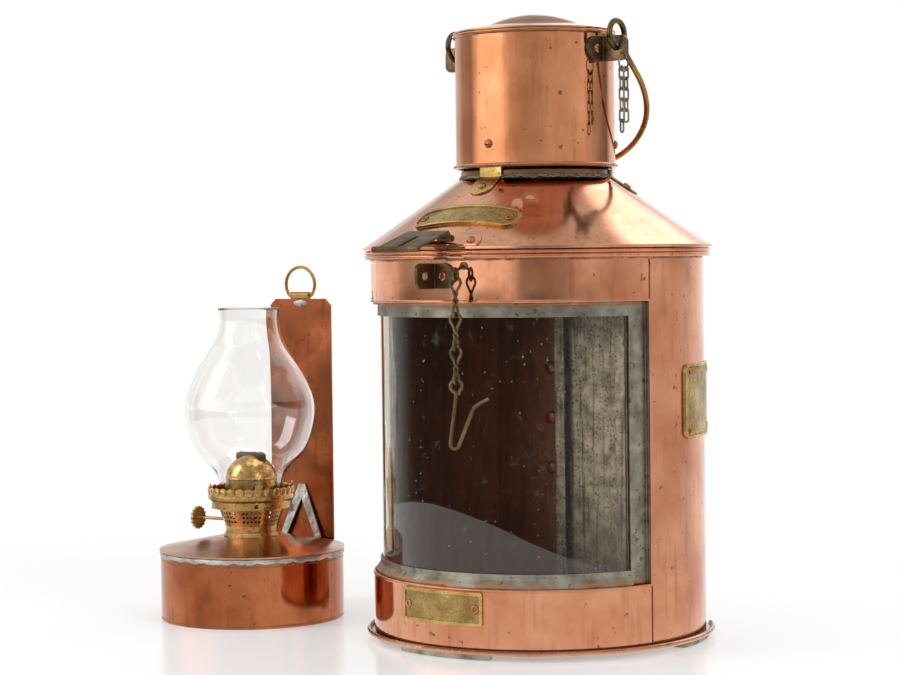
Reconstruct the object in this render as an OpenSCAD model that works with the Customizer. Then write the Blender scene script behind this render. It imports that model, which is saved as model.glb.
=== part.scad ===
// Copper stern lantern with the oil lamp that lifts out of it.
// Millimetres, +Z up. The front faces -Y and the flat back faces +Y.
// The origin is on the lantern's axis, at the level that its foot strips stand on.
// An azimuth is counted from the front towards +X.

/* [Body] */
// Outer radius of the round copper body
body_r = 124; // [116:1:132]
// From the axis to the outer face of the flat back
back_y = 79; // [77:1:86]
// Thickness of the copper sheet
sheet = 1.2; // [0.9:0.1:1.6]
// Height of the tinned strips that the lantern stands on
foot_h = 4; // [3:0.5:8]
// Half length of each foot strip, as an angle
foot_half_angle = 18; // [10:1:24]
// How far the base flange stands out from the body
base_ledge = 6.5; // [4:0.5:11]
// Radius of the rolled edge of the base flange
base_roll_r = 1.8; // [1.2:0.1:2.4]
// Height from the base plate to the top edge of the body sheet
body_h = 277; // [260:1:300]
// Height of the beaded rim on top of the body
rim_h = 6.4; // [5:0.2:8]
// How far the rim's beads stand out from the body
rim_proud = 5.4; // [3:0.1:6]

/* [Window] */
// Half angle of the window between the two seams of the body
seam_angle = 74.5; // [68:0.5:80]
// Half angle of the light that the window lets out
light_angle = 67.5; // [55:0.5:68]
// Height of the band under the window
lower_band_h = 45; // [36:1:60]
// Height of the band over the window
upper_band_h = 31.5; // [29:0.5:40]
// How far the front bands stand out from the body
band_proud = 0.8; // [0.4:0.1:1]
// From the outside of the body in to the window glass
glass_inset = 6; // [6:0.5:12]
// Thickness of the window glass
glass_t = 2.2; // [1.6:0.1:3]
// Thickness of the tinned frame strips
tin = 1.5; // [1:0.1:1.8]
// Height of the window head and of the sill's upstand
rail_h = 10; // [7:0.5:13]
// Free space between the glass and its frame
glass_bed = 0.2; // [0.1:0.05:0.4]

/* [Back] */
// Inside width of the lamp guide
guide_w = 62; // [58:0.5:70]
// Inside depth of the lamp guide
guide_d = 5.4; // [4.5:0.1:7]
// Width of each folded lip of the guide
guide_lip = 7; // [4:0.5:10]
// Height of the lamp guide
guide_h = 232; // [180:1:250]
// Inside width of the socket of the back bracket
socket_w = 60; // [50:1:66]
// Inside depth of the socket
socket_d = 12; // [8:0.5:16]
// Strap thickness of the back bracket
socket_t = 2; // [1.5:0.1:3]
// Height of the back bracket
socket_h = 112; // [100:1:130]
// Height of the middle of the bracket over the base plate
socket_mid = 151; // [130:1:170]
// Distance between the bracket's rivets, up the bracket
socket_pitch = 39.5; // [30:0.5:44]

/* [Roof] */
// How far the roof's edge stands out from the body
roof_ledge = 7; // [5:0.1:10]
// Height of the roof's edge
roof_edge_h = 2; // [1.6:0.1:3]
// Free space between the roof and the rim it lies on
lid_gap = 0.4; // [0.3:0.05:0.8]
// Rise of the cone for each millimetre that it draws in
cone_slope = 0.6945; // [0.6:0.0005:0.8]
// How far the flue neck at the top of the cone stands in from the chimney drum
neck_inset = 3.5; // [3.3:0.1:9.5]
// Height of the neck over the cone's top edge
neck_h = 4.5; // [3:0.5:6]
// Free height between the cone's top edge and the chimney drum
vent_gap = 7; // [6.5:0.5:12]
// Outer radius of the chimney drum
drum_r = 59.5; // [59:0.5:66]
// Height of the chimney drum
drum_h = 100; // [86:1:115]
// Radius of the drum's two rolled edges
drum_roll_r = 1.5; // [1.2:0.1:1.8]
// Radius of the domed middle of the cap
dome_r = 36; // [28:1:42]
// Rise of the domed middle
dome_rise = 8.5; // [5:0.5:12]
// Rise of the cap's sloping brim
brim_rise = 6; // [4:0.5:9]
// Width of the chimney bracket straps
bracket_w = 19; // [14:0.5:22]
// Thickness of the bracket straps
bracket_t = 1.1; // [0.8:0.1:1.1]

/* [Roof hinge and latch] */
// Radius of the roof hinge's pin
hinge_pin_r = 1.6; // [1.2:0.1:2]
// Radius of the roof hinge's knuckles
hinge_knuckle_r = 4; // [3.5:0.1:4.2]
// Length of the roof hinge
hinge_w = 84; // [60:1:96]
// Height of each leaf of the roof hinge
hinge_leaf_h = 24; // [18:1:28]
// From the roof's edge in to the hasp's pin
hasp_inset = 3; // [2.6:0.1:6]
// Radius of the hasp's pin
hasp_pin_r = 1.2; // [1:0.1:1.4]
// Width of the hasp
hasp_w = 36; // [28:1:42]
// Thickness of the hasp
hasp_t = 1.6; // [1.2:0.1:1.8]
// Drop of the closed hasp from its knee to its rolled end
hasp_drop = 38.5; // [37:0.5:42]
// How far the hasp is lifted from its closed place
hasp_lift = 72; // [60:1:85]
// Metal left beyond the staple lug's eye
lug_lip = 6; // [2:0.1:6]
// Height of the staple lug
lug_h = 18; // [14:0.5:18]
// Thickness of the lug and of the ears
lug_t = 2.4; // [1.8:0.1:3]

/* [Bail and chains] */
// Radius of the bail's rod
bail_rod_r = 2.1; // [1.6:0.1:2.4]
// Radius of the ring at each end of the bail
bail_ring_r = 9.9; // [9:0.1:12]
// How far the bail's arch bows out from the chimney drum
bail_bow = 18.9; // [17.5:0.1:30.5]
// Length of the bail from its axis to the top of its arch
bail_len = 112; // [110:0.5:125]
// How far the resting bail leans back from straight down
bail_lean = 35.5; // [35.5:0.5:40]
// How far the ears stand out from the drum
ear_reach = 23; // [21:0.5:26]
// Radius of the ears' rounded ends
ear_r = 9.2; // [8:0.1:10]
// Wire radius of the keeper chain
keeper_wire_r = 1.15; // [0.9:0.05:1.3]
// Wire radius of the keeper hook
hook_wire_r = 1.5; // [1.2:0.1:1.7]
// Wire radius of the small chain on the ear
chain_wire_r = 0.7; // [0.5:0.05:0.8]
// Free space between links
link_gap = 0.3; // [0.2:0.05:0.5]

/* [Plates] */
// Thickness of the brass plates
plate_t = 1.2; // [0.8:0.1:1.6]
// Height of a plate's raised rim
plate_rim = 0.9; // [0.5:0.1:1.4]
// Width of a plate's raised rim
plate_rim_w = 2; // [1.2:0.1:3]
// Width of the plate on the lower band
number_plate_w = 70; // [50:1:80]
// Height of the plate on the lower band
number_plate_h = 23.5; // [16:0.5:26]
// Width of the plate on the side
maker_plate_w = 76; // [60:1:78]
// Height of the plate on the side
maker_plate_h = 54; // [40:1:64]
// Length of the plate on the cone
title_plate_w = 86; // [60:1:96]
// Height of the plate on the cone
title_plate_h = 22; // [16:0.5:24]
// Radius of a rivet's head
rivet_r = 3.4; // [2.4:0.1:3.6]
// Height of a rivet's head
rivet_h = 1.8; // [1.2:0.1:2.2]

/* [Lamp] */
// Where the lamp's axis stands, to the side of the lantern
lamp_x = -241; // [-280:1:-236]
// Where the lamp's axis stands, towards the front or back
lamp_y = -55; // [-90:1:60]
// How far the lamp is turned from the lantern's front
lamp_turn = 7; // [-20:1:20]
// Radius of the fount
fount_r = 72.5; // [64:0.5:73]
// Height of the fount's straight side
fount_h = 54; // [44:1:62]
// Rise of the fount's top towards the collar
fount_rise = 10.5; // [8:0.5:12]
// Thickness of the fount's sheet
fount_t = 1.2; // [0.9:0.1:1.6]
// Radius of the burner collar
collar_r = 22.5; // [21.5:0.5:26]
// Width of the back plate
lamp_plate_w = 59; // [50:0.5:61]
// Height of the back plate's top edge
lamp_plate_top = 251; // [235:1:258]
// Thickness of the back plate
lamp_plate_t = 1.4; // [1:0.1:2]
// Radius of the lifting ring
lift_ring_r = 14; // [12.5:0.5:16]
// Wire radius of the lifting ring
lift_wire_r = 1.3; // [1:0.1:1.6]

/* [Burner] */
// Radius of the basket at its foot
basket_r0 = 20.5; // [19.5:0.5:21]
// Radius of the basket at its top
basket_r1 = 26; // [25:0.5:28]
// Height of the perforated basket
basket_h = 19; // [18:0.5:24]
// Wall of the burner's brass sheet
burner_t = 0.9; // [0.7:0.1:1.2]
// Width of a square hole in the basket
hole_w = 2; // [1.2:0.1:2.2]
// Radius of the gallery's rim
gallery_r = 34.5; // [33:0.5:38]
// Height of the gallery
gallery_h = 12; // [10:0.5:14]
// Radius of the burner dome
dome_base_r = 21; // [19:0.2:21.4]
// Height of the burner dome
burner_dome_h = 41.5; // [36:0.5:43]
// Width of the flat wick
wick_w = 26; // [20:1:28]
// Thickness of the flat wick
wick_t = 4; // [3:0.2:4.4]
// Free space between the wick and its tube
wick_gap = 0.3; // [0.2:0.05:0.5]
// Radius of the wick spindle
spindle_r = 1.3; // [1:0.1:1.5]
// Radius of the toothed wheels that feed the wick
feed_r = 3.8; // [3.2:0.1:4.2]
// Distance from the burner's axis to the thumbwheel
thumb_reach = 47; // [44:0.5:54]
// Radius of the thumbwheel
thumb_r = 9.3; // [7:0.1:9.5]
// Radius of the lamp glass at its foot
chimney_foot_r = 25; // [24:0.2:26.5]
// Largest radius of the lamp glass
chimney_bulge_r = 51.5; // [42:0.5:54]
// Radius of the lamp glass at its top
chimney_top_r = 24.5; // [20:0.5:28]
// Height of the lamp glass
chimney_h = 157; // [140:1:165]
// Wall of the lamp glass
chimney_t = 1.8; // [1.4:0.1:2.2]

/* [Hidden] */
$fn = 96;

copper = "#b9714f";
tinned = "#6f7270";
brass = "#a88a4c";
bronze = "#5d5140";
cotton = "#3b3028";
clear_glass = [0.85, 0.9, 0.9, 0.3];

// Pieces soldered or riveted on lie this far off the sheet that carries them
seat = 0.05;
// Running clearance of a pin in its knuckle
pin_play = 0.05;
// Free space between the knuckles of one hinge
knuckle_gap = 0.4;
// Overshoot that keeps cuts clean
eps = 0.5;

// Radii that follow the body
base_r = body_r + base_ledge;
glass_r = body_r - glass_inset;
roof_r = body_r + roof_ledge;
hasp_axis_r = roof_r - hasp_inset;

// Levels from the base to the top of the chimney
base_z = foot_h + sheet;
body_top = base_z + body_h;
window_z0 = base_z + lower_band_h;
window_z1 = body_top - upper_band_h;
rim_top = body_top + rim_h;
roof_z = rim_top + lid_gap;
cone_z0 = roof_z + roof_edge_h;
cone_r0 = roof_r - 2;
neck_r = drum_r - neck_inset;
cone_r1 = neck_r + seat;
cone_z1 = cone_z0 + (cone_r0 - cone_r1) * cone_slope;
cone_tilt = atan(cone_slope);
drum_z0 = cone_z1 + vent_gap;
drum_z1 = drum_z0 + drum_h;
function cone_z(r) = cone_z0 + (cone_r0 - r) * cone_slope;
// Radius on the cone, at azimuth a, of the middle line of a plate bent over it at radius r
function level_r(r, a) = r / (cos(a) * pow(cos(cone_tilt), 2) + pow(sin(cone_tilt), 2));
function unit(v) = v / norm(v);

// Radii of the frame strips round the glass
frame_out = glass_r + glass_bed + tin;
frame_in = glass_r - glass_t - glass_bed - tin;
band_out = body_r + band_proud;
band_in = band_out - sheet;
flange_r = band_out - 1.5 * sheet - seat;
sheet_in = body_r - sheet;

// Roof hinge, outside the flat back
hinge_y = back_y + hinge_knuckle_r + 0.6;
hinge_z = roof_z;

// Hasp and staple lug, at the front
hasp_knuckle_r = hasp_pin_r + 1.2;
hasp_axis_z = cone_z(hasp_axis_r) + (hasp_knuckle_r + sheet + seat + link_gap) / cos(cone_tilt);
hasp_knee_r = roof_r + 2.2 + hasp_t / 2;
hasp_knee_z = hasp_axis_z - 3.2;
hasp_roll_r = 2.2;
strap_r = hasp_axis_r - 6;
strap_len = 72;
strap_h = 15;
hasp_end_z = hasp_knee_z - hasp_drop;
slot_h = lug_h + 6;
slot_mid_z = hasp_end_z + hasp_roll_r + 1.2 + slot_h / 2;
lug_z = slot_mid_z;
lug_eye_r = 3;
lug_eye_x = hasp_knee_r + hasp_t / 2 + hook_wire_r + 2;
lug_reach = lug_eye_x - band_out + lug_eye_r + lug_lip;
// From the fold of a lug to the middle of its round pad
function pad_x(h) = 0.42 * h;

// Keeper chain
keeper_az = 10.8;
keeper_r = band_out + 14;
eye_ring_r = 4.2;
eye_z = lug_z + 1;
keeper_loop_r = 4.4;
keeper_foot_r = 3.4;
keeper_len_1 = 28;
keeper_len_2 = 26;
link_drop = 2 * keeper_wire_r + link_gap;
keeper_top_1 = eye_z - eye_ring_r + link_drop;
keeper_top_2 = keeper_top_1 - keeper_len_1 + link_drop;
keeper_top_3 = keeper_top_2 - keeper_len_2 + link_drop;
hook_top = keeper_top_3 - keeper_len_2 + keeper_wire_r + hook_wire_r + link_gap;

// Ears and bail
ear_z = drum_z1 - drum_roll_r - ear_r - 3.8;
ear_hole_x = drum_r + ear_reach - ear_r;
ear_hole_r = bail_rod_r + 0.4;
bail_z = ear_z + bail_ring_r;
bail_gap = 28;
bail_half_w = drum_r + bail_bow;
bail_wide_v = 44;
chain_hole_x = drum_r + ear_reach - 3.6;
chain_hole_z = ear_z - 4.6;
chain_hole_r = 1.5;

// Plates
number_plate_z = base_z + 0.678 * lower_band_h;
maker_plate_z = base_z + 0.621 * body_h;
maker_plate_az = 110;
title_plate_az = 4;
title_plate_mid_r = cone_r1 + 0.566 * (cone_r0 - cone_r1);

// Lamp levels
fount_top_z = fount_h + fount_rise;
fount_rim_r = fount_r + 0.8;
fount_slope = (fount_rise - fount_t - seat) / (fount_rim_r - collar_r - 3);
collar_h = 3.5;
basket_z0 = fount_top_z + collar_h;
basket_z1 = basket_z0 + basket_h;
gallery_z0 = basket_z1 + seat;
prong_h = 7.5;
gallery_z1 = gallery_z0 + gallery_h;
dome_z0 = gallery_z0 + burner_t + seat;
dome_top = dome_z0 + burner_dome_h;
glass_foot_z = gallery_z0 + burner_t + link_gap;
spindle_z = basket_z0 + 9;
tube_half_t = wick_t / 2 + wick_gap + burner_t;
spindle_y = -(wick_t / 2 + feed_r + wick_gap);
tube_top = dome_top - 6;
wick_top = dome_top + 2.5;
plate_face_y = fount_rim_r + seat;
ring_bar_r = lift_wire_r + 1.5;
ring_bar_w = 18;
ring_y = plate_face_y + lamp_plate_t / 2;
ring_z = lamp_plate_top + ring_bar_r + seat;

// A D-shaped outline: a circle of radius r cut off flat at y
module d_outline(r, y) {
    intersection() {
        circle(r = r);
        translate([-2 * r, -2 * r]) square([4 * r, 2 * r + y]);
    }
}

// A wedge of the plane between two azimuths, out to radius r
module wedge(a0, a1, r) {
    reach = 1.5 * r;
    steps = 6;
    polygon(concat([[0, 0]],
        [for (i = [0 : steps]) let (a = a0 + (a1 - a0) * i / steps) [reach * sin(a), -reach * cos(a)]]));
}

// A curved wall, r0 to r1 and azimuth a0 to a1, of height h
module curved_wall(r0, r1, a0, a1, h) {
    linear_extrude(h) intersection() {
        difference() {
            circle(r = r1);
            circle(r = r0);
        }
        wedge(a0, a1, r1);
    }
}

// Sweep a profile of radius and height round from azimuth a0 to a1
module sweep(a0, a1) {
    rotate([0, 0, a0 - 90]) rotate_extrude(angle = a1 - a0) children();
}

// Place children on a wall: x along the wall, y up, z outwards
module on_wall(a, r, z) {
    rotate([0, 0, a]) translate([0, -r, z]) rotate([90, 0, 0]) children();
}

// Place children on the roof's cone: x along it, y up the slope, z out of it
module on_cone(a, r) {
    rotate([0, 0, a]) translate([0, -r, cone_z(r)]) rotate([cone_tilt, 0, 0]) children();
}

module round_rect(w, h, r) {
    square([w - 2 * r, h], center = true);
    square([w, h - 2 * r], center = true);
    for (x = [-1, 1], y = [-1, 1]) translate([x * (w / 2 - r), y * (h / 2 - r)]) circle(r = r);
}

// A rivet's domed head, standing on z = 0
module rivet_head() {
    ball_r = (rivet_r * rivet_r + rivet_h * rivet_h) / (2 * rivet_h);
    intersection() {
        translate([0, 0, rivet_h - ball_r]) sphere(r = ball_r);
        cylinder(r = rivet_r + eps, h = rivet_h + eps);
    }
}

// Wires are drawn as straight lengths, arcs of rings, and slightly fuller joints that cover where they meet
module wire_rod(p, q, r) {
    d = q - p;
    cut = 0.2 * r;
    translate(p + cut * unit(d)) rotate([0, acos(d[2] / norm(d)), atan2(d[1], d[0])])
        cylinder(r = r, h = norm(d) - 2 * cut);
}

// Part of a wire ring in the XZ plane, from angle a0 to a1
module wire_arc(ring_r, wire_r, a0, a1) {
    cut = a1 - a0 < 360 ? 11 * wire_r / ring_r : 0;
    rotate([90, 0, 0]) rotate([0, 0, a0 + cut]) rotate_extrude(angle = a1 - a0 - 2 * cut)
        translate([ring_r, 0]) circle(r = wire_r);
}

module wire_joint(p, r) { translate(p) sphere(r = 1.08 * r); }

// The lantern's body

module base_plate() {
    edge_r = base_r - base_roll_r;
    flat_y = back_y + sheet;
    color(copper) translate([0, 0, foot_h]) {
        linear_extrude(sheet) d_outline(edge_r, flat_y);
        intersection() {
            rotate_extrude() translate([edge_r, base_roll_r]) circle(r = base_roll_r);
            translate([-2 * base_r, -2 * base_r, -eps])
                cube([4 * base_r, 2 * base_r + flat_y, 4 * base_roll_r]);
        }
    }
}

module foot_strips() {
    foot_out = base_r - 2.5 * base_roll_r;
    color(tinned) for (a = [0, 108, -108])
        curved_wall(foot_out - 9, foot_out, a - foot_half_angle, a + foot_half_angle, foot_h);
}

module body_shell() {
    color(copper) translate([0, 0, base_z]) linear_extrude(body_h) difference() {
        d_outline(body_r, back_y);
        d_outline(sheet_in, back_y - sheet);
        wedge(-seam_angle, seam_angle, body_r);
    }
}

// Each front band is a sheet with a rolled edge towards the window
module lower_front_band() {
    roll = sheet;
    color(copper) sweep(-seam_angle, seam_angle) {
        translate([band_in, base_z]) square([sheet, lower_band_h - roll]);
        translate([band_out - roll / 2, window_z0 - roll]) circle(r = roll);
    }
}

module upper_front_band() {
    roll = sheet;
    color(copper) sweep(-seam_angle, seam_angle) {
        translate([band_in, window_z1 + roll]) square([sheet, upper_band_h - roll]);
        translate([band_out - roll / 2, window_z1 + roll]) circle(r = roll);
    }
}

module top_rim() {
    bead_r = rim_h * 0.23;
    core_r = body_r + rim_proud - bead_r;
    bead_end = 178 - acos(back_y / core_r);
    color(copper) translate([0, 0, body_top]) {
        linear_extrude(rim_h) difference() {
            d_outline(core_r, back_y);
            d_outline(sheet_in, back_y - sheet);
        }
        for (level = [0.25, 0.75]) sweep(-bead_end, bead_end)
            translate([core_r, level * rim_h]) circle(r = bead_r);
    }
}

// Profile of the channel that holds the head or the foot of the glass, open upwards from y = 0
module rail_profile() {
    translate([frame_in, 0]) square([frame_out - frame_in, tin]);
    translate([frame_in, 0]) square([tin, rail_h * 0.7]);
    translate([frame_out - tin, 0]) square([tin, rail_h]);
}

module window_head() {
    flange_h = upper_band_h * 0.4;
    color(tinned) sweep(-light_angle, light_angle) translate([0, window_z1]) {
        mirror([0, 1]) rail_profile();
        translate([frame_out - tin, -tin]) square([flange_r - frame_out + tin, tin]);
        translate([flange_r - tin, -tin]) square([tin, flange_h]);
    }
}

module window_sill() {
    flange_h = lower_band_h * 0.4;
    slope_top = rail_h * 0.6;
    color(tinned) sweep(-light_angle, light_angle) translate([0, window_z0]) {
        rail_profile();
        polygon([[frame_out - tin, 0], [flange_r, 0], [flange_r, tin], [frame_out, slope_top]]);
        translate([flange_r - tin, -flange_h]) square([tin, flange_h + tin]);
    }
}

// A folded jamb: a channel for the edge of the glass, and a flange soldered behind the shell
module window_jamb(side) {
    web = 2;
    web_a = (light_angle + seam_angle) / 2 + web / 2;
    fold_a = atan(tin / body_r);
    a_edge = light_angle + 0.05;
    flange_a = seam_angle + 4;
    jamb_h = window_z1 - window_z0;
    flip = side > 0 ? [0, 0, 0] : [1, 0, 0];
    color(tinned) translate([0, 0, window_z0]) mirror(flip) {
        curved_wall(frame_out - tin, frame_out, a_edge, seam_angle + fold_a, jamb_h);
        curved_wall(frame_in, frame_in + tin, a_edge, web_a, jamb_h);
        curved_wall(frame_in, frame_out, web_a - fold_a, web_a, jamb_h);
        curved_wall(frame_out - tin, sheet_in - seat, seam_angle, seam_angle + fold_a, jamb_h);
        curved_wall(sheet_in - seat - tin, sheet_in - seat, seam_angle, flange_a, jamb_h);
    }
}

module window_jamb_left() { window_jamb(-1); }

module window_jamb_right() { window_jamb(1); }

module window_glass() {
    edge_a = (light_angle + seam_angle) / 2 - 0.2;
    foot = tin + glass_bed;
    color(clear_glass) translate([0, 0, window_z0 + foot])
        curved_wall(glass_r - glass_t, glass_r, -edge_a, edge_a, window_z1 - window_z0 - 2 * foot);
}

module lamp_guide() {
    face_y = back_y - sheet;
    wall_w = guide_w + 2 * tin;
    front_y = face_y - tin - guide_d - tin;
    color(tinned) translate([0, 0, base_z]) linear_extrude(guide_h) {
        translate([-wall_w / 2, face_y - tin]) square([wall_w, tin]);
        for (s = [-1, 1]) scale_x(s) {
            translate([guide_w / 2, front_y]) square([tin, face_y - front_y]);
            translate([guide_w / 2 - guide_lip, front_y]) square([guide_lip + tin, tin]);
        }
    }
}

// Keep children as they are for 1, mirror them from side to side for -1
module scale_x(s) { mirror([s < 0 ? 1 : 0, 0, 0]) children(); }

module back_bracket() {
    flange = 20;
    outer_w = socket_w + 2 * socket_t;
    color(copper) translate([0, back_y, base_z + socket_mid - socket_h / 2]) linear_extrude(socket_h)
        for (s = [-1, 1]) scale_x(s) {
            translate([outer_w / 2 - socket_t, 0]) square([flange, socket_t]);
            translate([outer_w / 2 - socket_t, 0]) square([socket_t, socket_d + socket_t]);
            translate([-eps, socket_d]) square([outer_w / 2 + eps, socket_t]);
        }
}

module bracket_rivets() {
    rivet_x = socket_w / 2 + socket_t + 10;
    color(copper) for (s = [-1, 1], i = [-1 : 1]) {
        z = base_z + socket_mid + i * socket_pitch;
        translate([s * rivet_x, back_y + socket_t, z]) rotate([-90, 0, 0]) rivet_head();
        translate([s * rivet_x, back_y - sheet, z]) rotate([90, 0, 0]) rivet_head();
    }
}

// One leaf of the roof hinge, with knuckles at the given stretches; up is 1 for the roof's leaf
module hinge_leaf(up, knuckles) {
    clear = hinge_knuckle_r + 0.8;
    color(bronze) difference() {
        union() {
            translate([-hinge_w / 2, back_y, up > 0 ? hinge_z + clear : hinge_z - hinge_leaf_h])
                cube([hinge_w, sheet, hinge_leaf_h - clear]);
            for (k = knuckles) {
                translate([k[0], back_y, up > 0 ? hinge_z : hinge_z - clear - eps])
                    cube([k[1] - k[0], sheet, clear + eps]);
                translate([k[0], hinge_y, hinge_z]) rotate([0, 90, 0])
                    cylinder(r = hinge_knuckle_r, h = k[1] - k[0]);
            }
        }
        translate([-hinge_w, hinge_y, hinge_z]) rotate([0, 90, 0])
            cylinder(r = hinge_pin_r + pin_play, h = 2 * hinge_w);
    }
}

module hinge_leaf_body() {
    third = hinge_w / 6;
    hinge_leaf(-1, [[-hinge_w / 2, -third - knuckle_gap / 2], [third + knuckle_gap / 2, hinge_w / 2]]);
}

module hinge_leaf_roof() {
    third = hinge_w / 6;
    hinge_leaf(1, [[-third + knuckle_gap / 2, third - knuckle_gap / 2]]);
}

module hinge_pin() {
    pin_len = hinge_w + 2;
    color(bronze) translate([-pin_len / 2, hinge_y, hinge_z]) rotate([0, 90, 0])
        cylinder(r = hinge_pin_r, h = pin_len);
}

// A plate folded at a right angle: a round pad bent to a wall of radius r, and a lug that stands out from it
module folded_lug(r, reach, h, eye_x, eye_r) {
    corner = h * 0.28;
    root = lug_t / 4;
    difference() {
        union() {
            intersection() {
                translate([0, 0, -r]) rotate([90, 0, 0]) difference() {
                    cylinder(r = r + lug_t, h = 2 * h, center = true);
                    cylinder(r = r, h = 3 * h, center = true);
                }
                translate([0, 0, -h / 2]) linear_extrude(h) {
                    translate([-lug_t / 2, -h / 2]) square([pad_x(h) + lug_t / 2, h]);
                    translate([pad_x(h), 0]) circle(r = h / 2);
                }
            }
            rotate([0, -90, 0]) translate([root, 0, -lug_t / 2]) linear_extrude(lug_t) {
                translate([0, -h / 2]) square([reach - corner - root, h]);
                translate([(reach - root) / 2, 0]) round_rect(reach - root, h, corner);
            }
        }
        translate([-lug_t, 0, eye_x]) rotate([0, 90, 0]) cylinder(r = eye_r, h = 2 * lug_t);
    }
}

module staple_lug() {
    color(bronze) on_wall(0, band_out + seat, lug_z)
        folded_lug(band_out + seat, lug_reach, lug_h, lug_eye_x - band_out, lug_eye_r);
}

// A wire eye that the keeper chain hangs from, on a stem that slopes down from the band
module chain_eye() {
    w = keeper_wire_r;
    root = [0, keeper_r - band_out - seat, 6];
    neck = eye_ring_r * [0, cos(45), sin(45)];
    color(bronze) rotate([0, 0, keeper_az]) translate([0, -keeper_r, eye_z]) {
        rotate([0, 0, 90]) wire_arc(eye_ring_r, w, 0, 360);
        wire_rod(root - [0, 0.6, 0], neck, 0.95 * w);
        translate(root) rotate([90, 0, 0]) cylinder(r = 2.4 * w, h = 1.2);
    }
}

// A twisted wire link that hangs from z = 0: a drop-shaped loop, a shank, and a foot loop across it
module keeper_link(len) {
    w = keeper_wire_r;
    drop = keeper_loop_r * 2.1;
    open = acos(keeper_loop_r / drop);
    apex = [0, 0, -keeper_loop_r - drop];
    foot = [0, 0, -len + 2 * keeper_foot_r];
    color(bronze) {
        translate([0, 0, -keeper_loop_r]) wire_arc(keeper_loop_r, w, open - 90, 270 - open);
        for (s = [-1, 1]) {
            side = [s * keeper_loop_r * sin(open), 0, -keeper_loop_r - keeper_loop_r * cos(open)];
            wire_joint(side, w);
            wire_rod(side, apex, w);
        }
        translate(apex) sphere(r = 1.5 * w);
        wire_rod(apex - [0, 0, 0.4 * w], foot, 0.95 * w);
        translate([0, 0, -len + keeper_foot_r]) rotate([0, 0, 90]) wire_arc(keeper_foot_r, w, 0, 360);
    }
}

module hang_keeper(top) { rotate([0, 0, keeper_az]) translate([0, -keeper_r, top]) children(); }

module keeper_link_1() { hang_keeper(keeper_top_1) keeper_link(keeper_len_1); }

module keeper_link_2() { hang_keeper(keeper_top_2) keeper_link(keeper_len_2); }

module keeper_link_3() { hang_keeper(keeper_top_3) keeper_link(keeper_len_2); }

module keeper_hook() {
    eye_r = 4.2;
    bend_r = 3.4;
    lean = 8;
    back_lean = 24;
    leg = 36;
    back_leg = 30;
    tip = 13;
    tip_lean = 62;
    w = hook_wire_r;
    top = [0, 0, -2 * eye_r];
    bottom = top - leg * [sin(lean), 0, cos(lean)];
    centre = bottom + bend_r * [cos(lean), 0, -sin(lean)];
    turn = centre + bend_r * [cos(back_lean), 0, -sin(back_lean)];
    rise = turn + back_leg * [sin(back_lean), 0, cos(back_lean)];
    end = rise + tip * [sin(tip_lean), 0, cos(tip_lean)];
    color(bronze) hang_keeper(hook_top) {
        translate([0, 0, -eye_r]) wire_arc(eye_r, w, 0, 360);
        wire_rod(top, bottom, 0.95 * w);
        wire_joint(bottom, w);
        translate(centre) wire_arc(bend_r, w, 180 - lean, 360 - back_lean);
        wire_joint(turn, w);
        wire_rod(turn, rise, w);
        wire_joint(rise, w);
        wire_rod(rise, end, w);
    }
}

// A plate with a raised rim, bent to a cylinder of radius r
module curved_plate(a, r, z, w, h, corner) {
    intersection() {
        translate([0, 0, z - h]) linear_extrude(2 * h) difference() {
            circle(r = r + seat + plate_t + plate_rim);
            circle(r = r + seat);
        }
        on_wall(a, 0, z) linear_extrude(2 * r) round_rect(w, h, corner);
    }
}

// The hollow inside a plate's rim
module plate_hollow(a, r, z, w, h, corner) {
    intersection() {
        translate([0, 0, z - h]) linear_extrude(2 * h) difference() {
            circle(r = r + seat + plate_t + 4 * plate_rim);
            circle(r = r + seat + plate_t);
        }
        on_wall(a, 0, z) linear_extrude(2 * r) round_rect(w - 2 * plate_rim_w, h - 2 * plate_rim_w, corner);
    }
}

module number_plate() {
    color(brass) difference() {
        curved_plate(0, band_out, number_plate_z, number_plate_w, number_plate_h, 1.5);
        plate_hollow(0, band_out, number_plate_z, number_plate_w, number_plate_h, 1);
    }
}

module maker_plate() {
    color(brass) difference() {
        curved_plate(maker_plate_az, body_r, maker_plate_z, maker_plate_w, maker_plate_h, 6);
        plate_hollow(maker_plate_az, body_r, maker_plate_z, maker_plate_w, maker_plate_h, 4);
    }
}

module plate_rivets() {
    number_x = number_plate_w / 2 - plate_rim_w - rivet_r;
    maker_x = maker_plate_w / 2 - plate_rim_w - rivet_r - 0.5;
    maker_y = maker_plate_h / 2 - plate_rim_w - rivet_r - 0.5;
    number_face = band_out + seat + plate_t;
    maker_face = body_r + seat + plate_t;
    color(copper) {
        for (s = [-1, 1]) on_wall(asin(s * number_x / number_face), number_face, number_plate_z) rivet_head();
        for (s = [-1, 1], t = [-1, 1])
            on_wall(maker_plate_az + asin(s * maker_x / maker_face), maker_face, maker_plate_z + t * maker_y)
                rivet_head();
        on_wall(asin(pad_x(lug_h) / band_out), band_out + seat + lug_t, lug_z) rivet_head();
    }
}

// The roof and the chimney

module roof_cone() {
    drop = sheet / cos(cone_tilt);
    inner_r = body_r - 6;
    color(copper) {
        intersection() {
            rotate_extrude() polygon([
                [inner_r, roof_z], [roof_r, roof_z], [roof_r, cone_z0], [cone_r0, cone_z0],
                [cone_r1, cone_z1], [cone_r1, cone_z1 - drop], [inner_r, cone_z(inner_r) - drop]
            ]);
            translate([-2 * roof_r, -2 * roof_r, 0]) cube([4 * roof_r, 2 * roof_r + back_y, 2 * cone_z1]);
        }
        intersection() {
            cylinder_cone();
            translate([-2 * roof_r, back_y - sheet, 0]) cube([4 * roof_r, sheet, 2 * cone_z1]);
        }
    }
}

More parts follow.
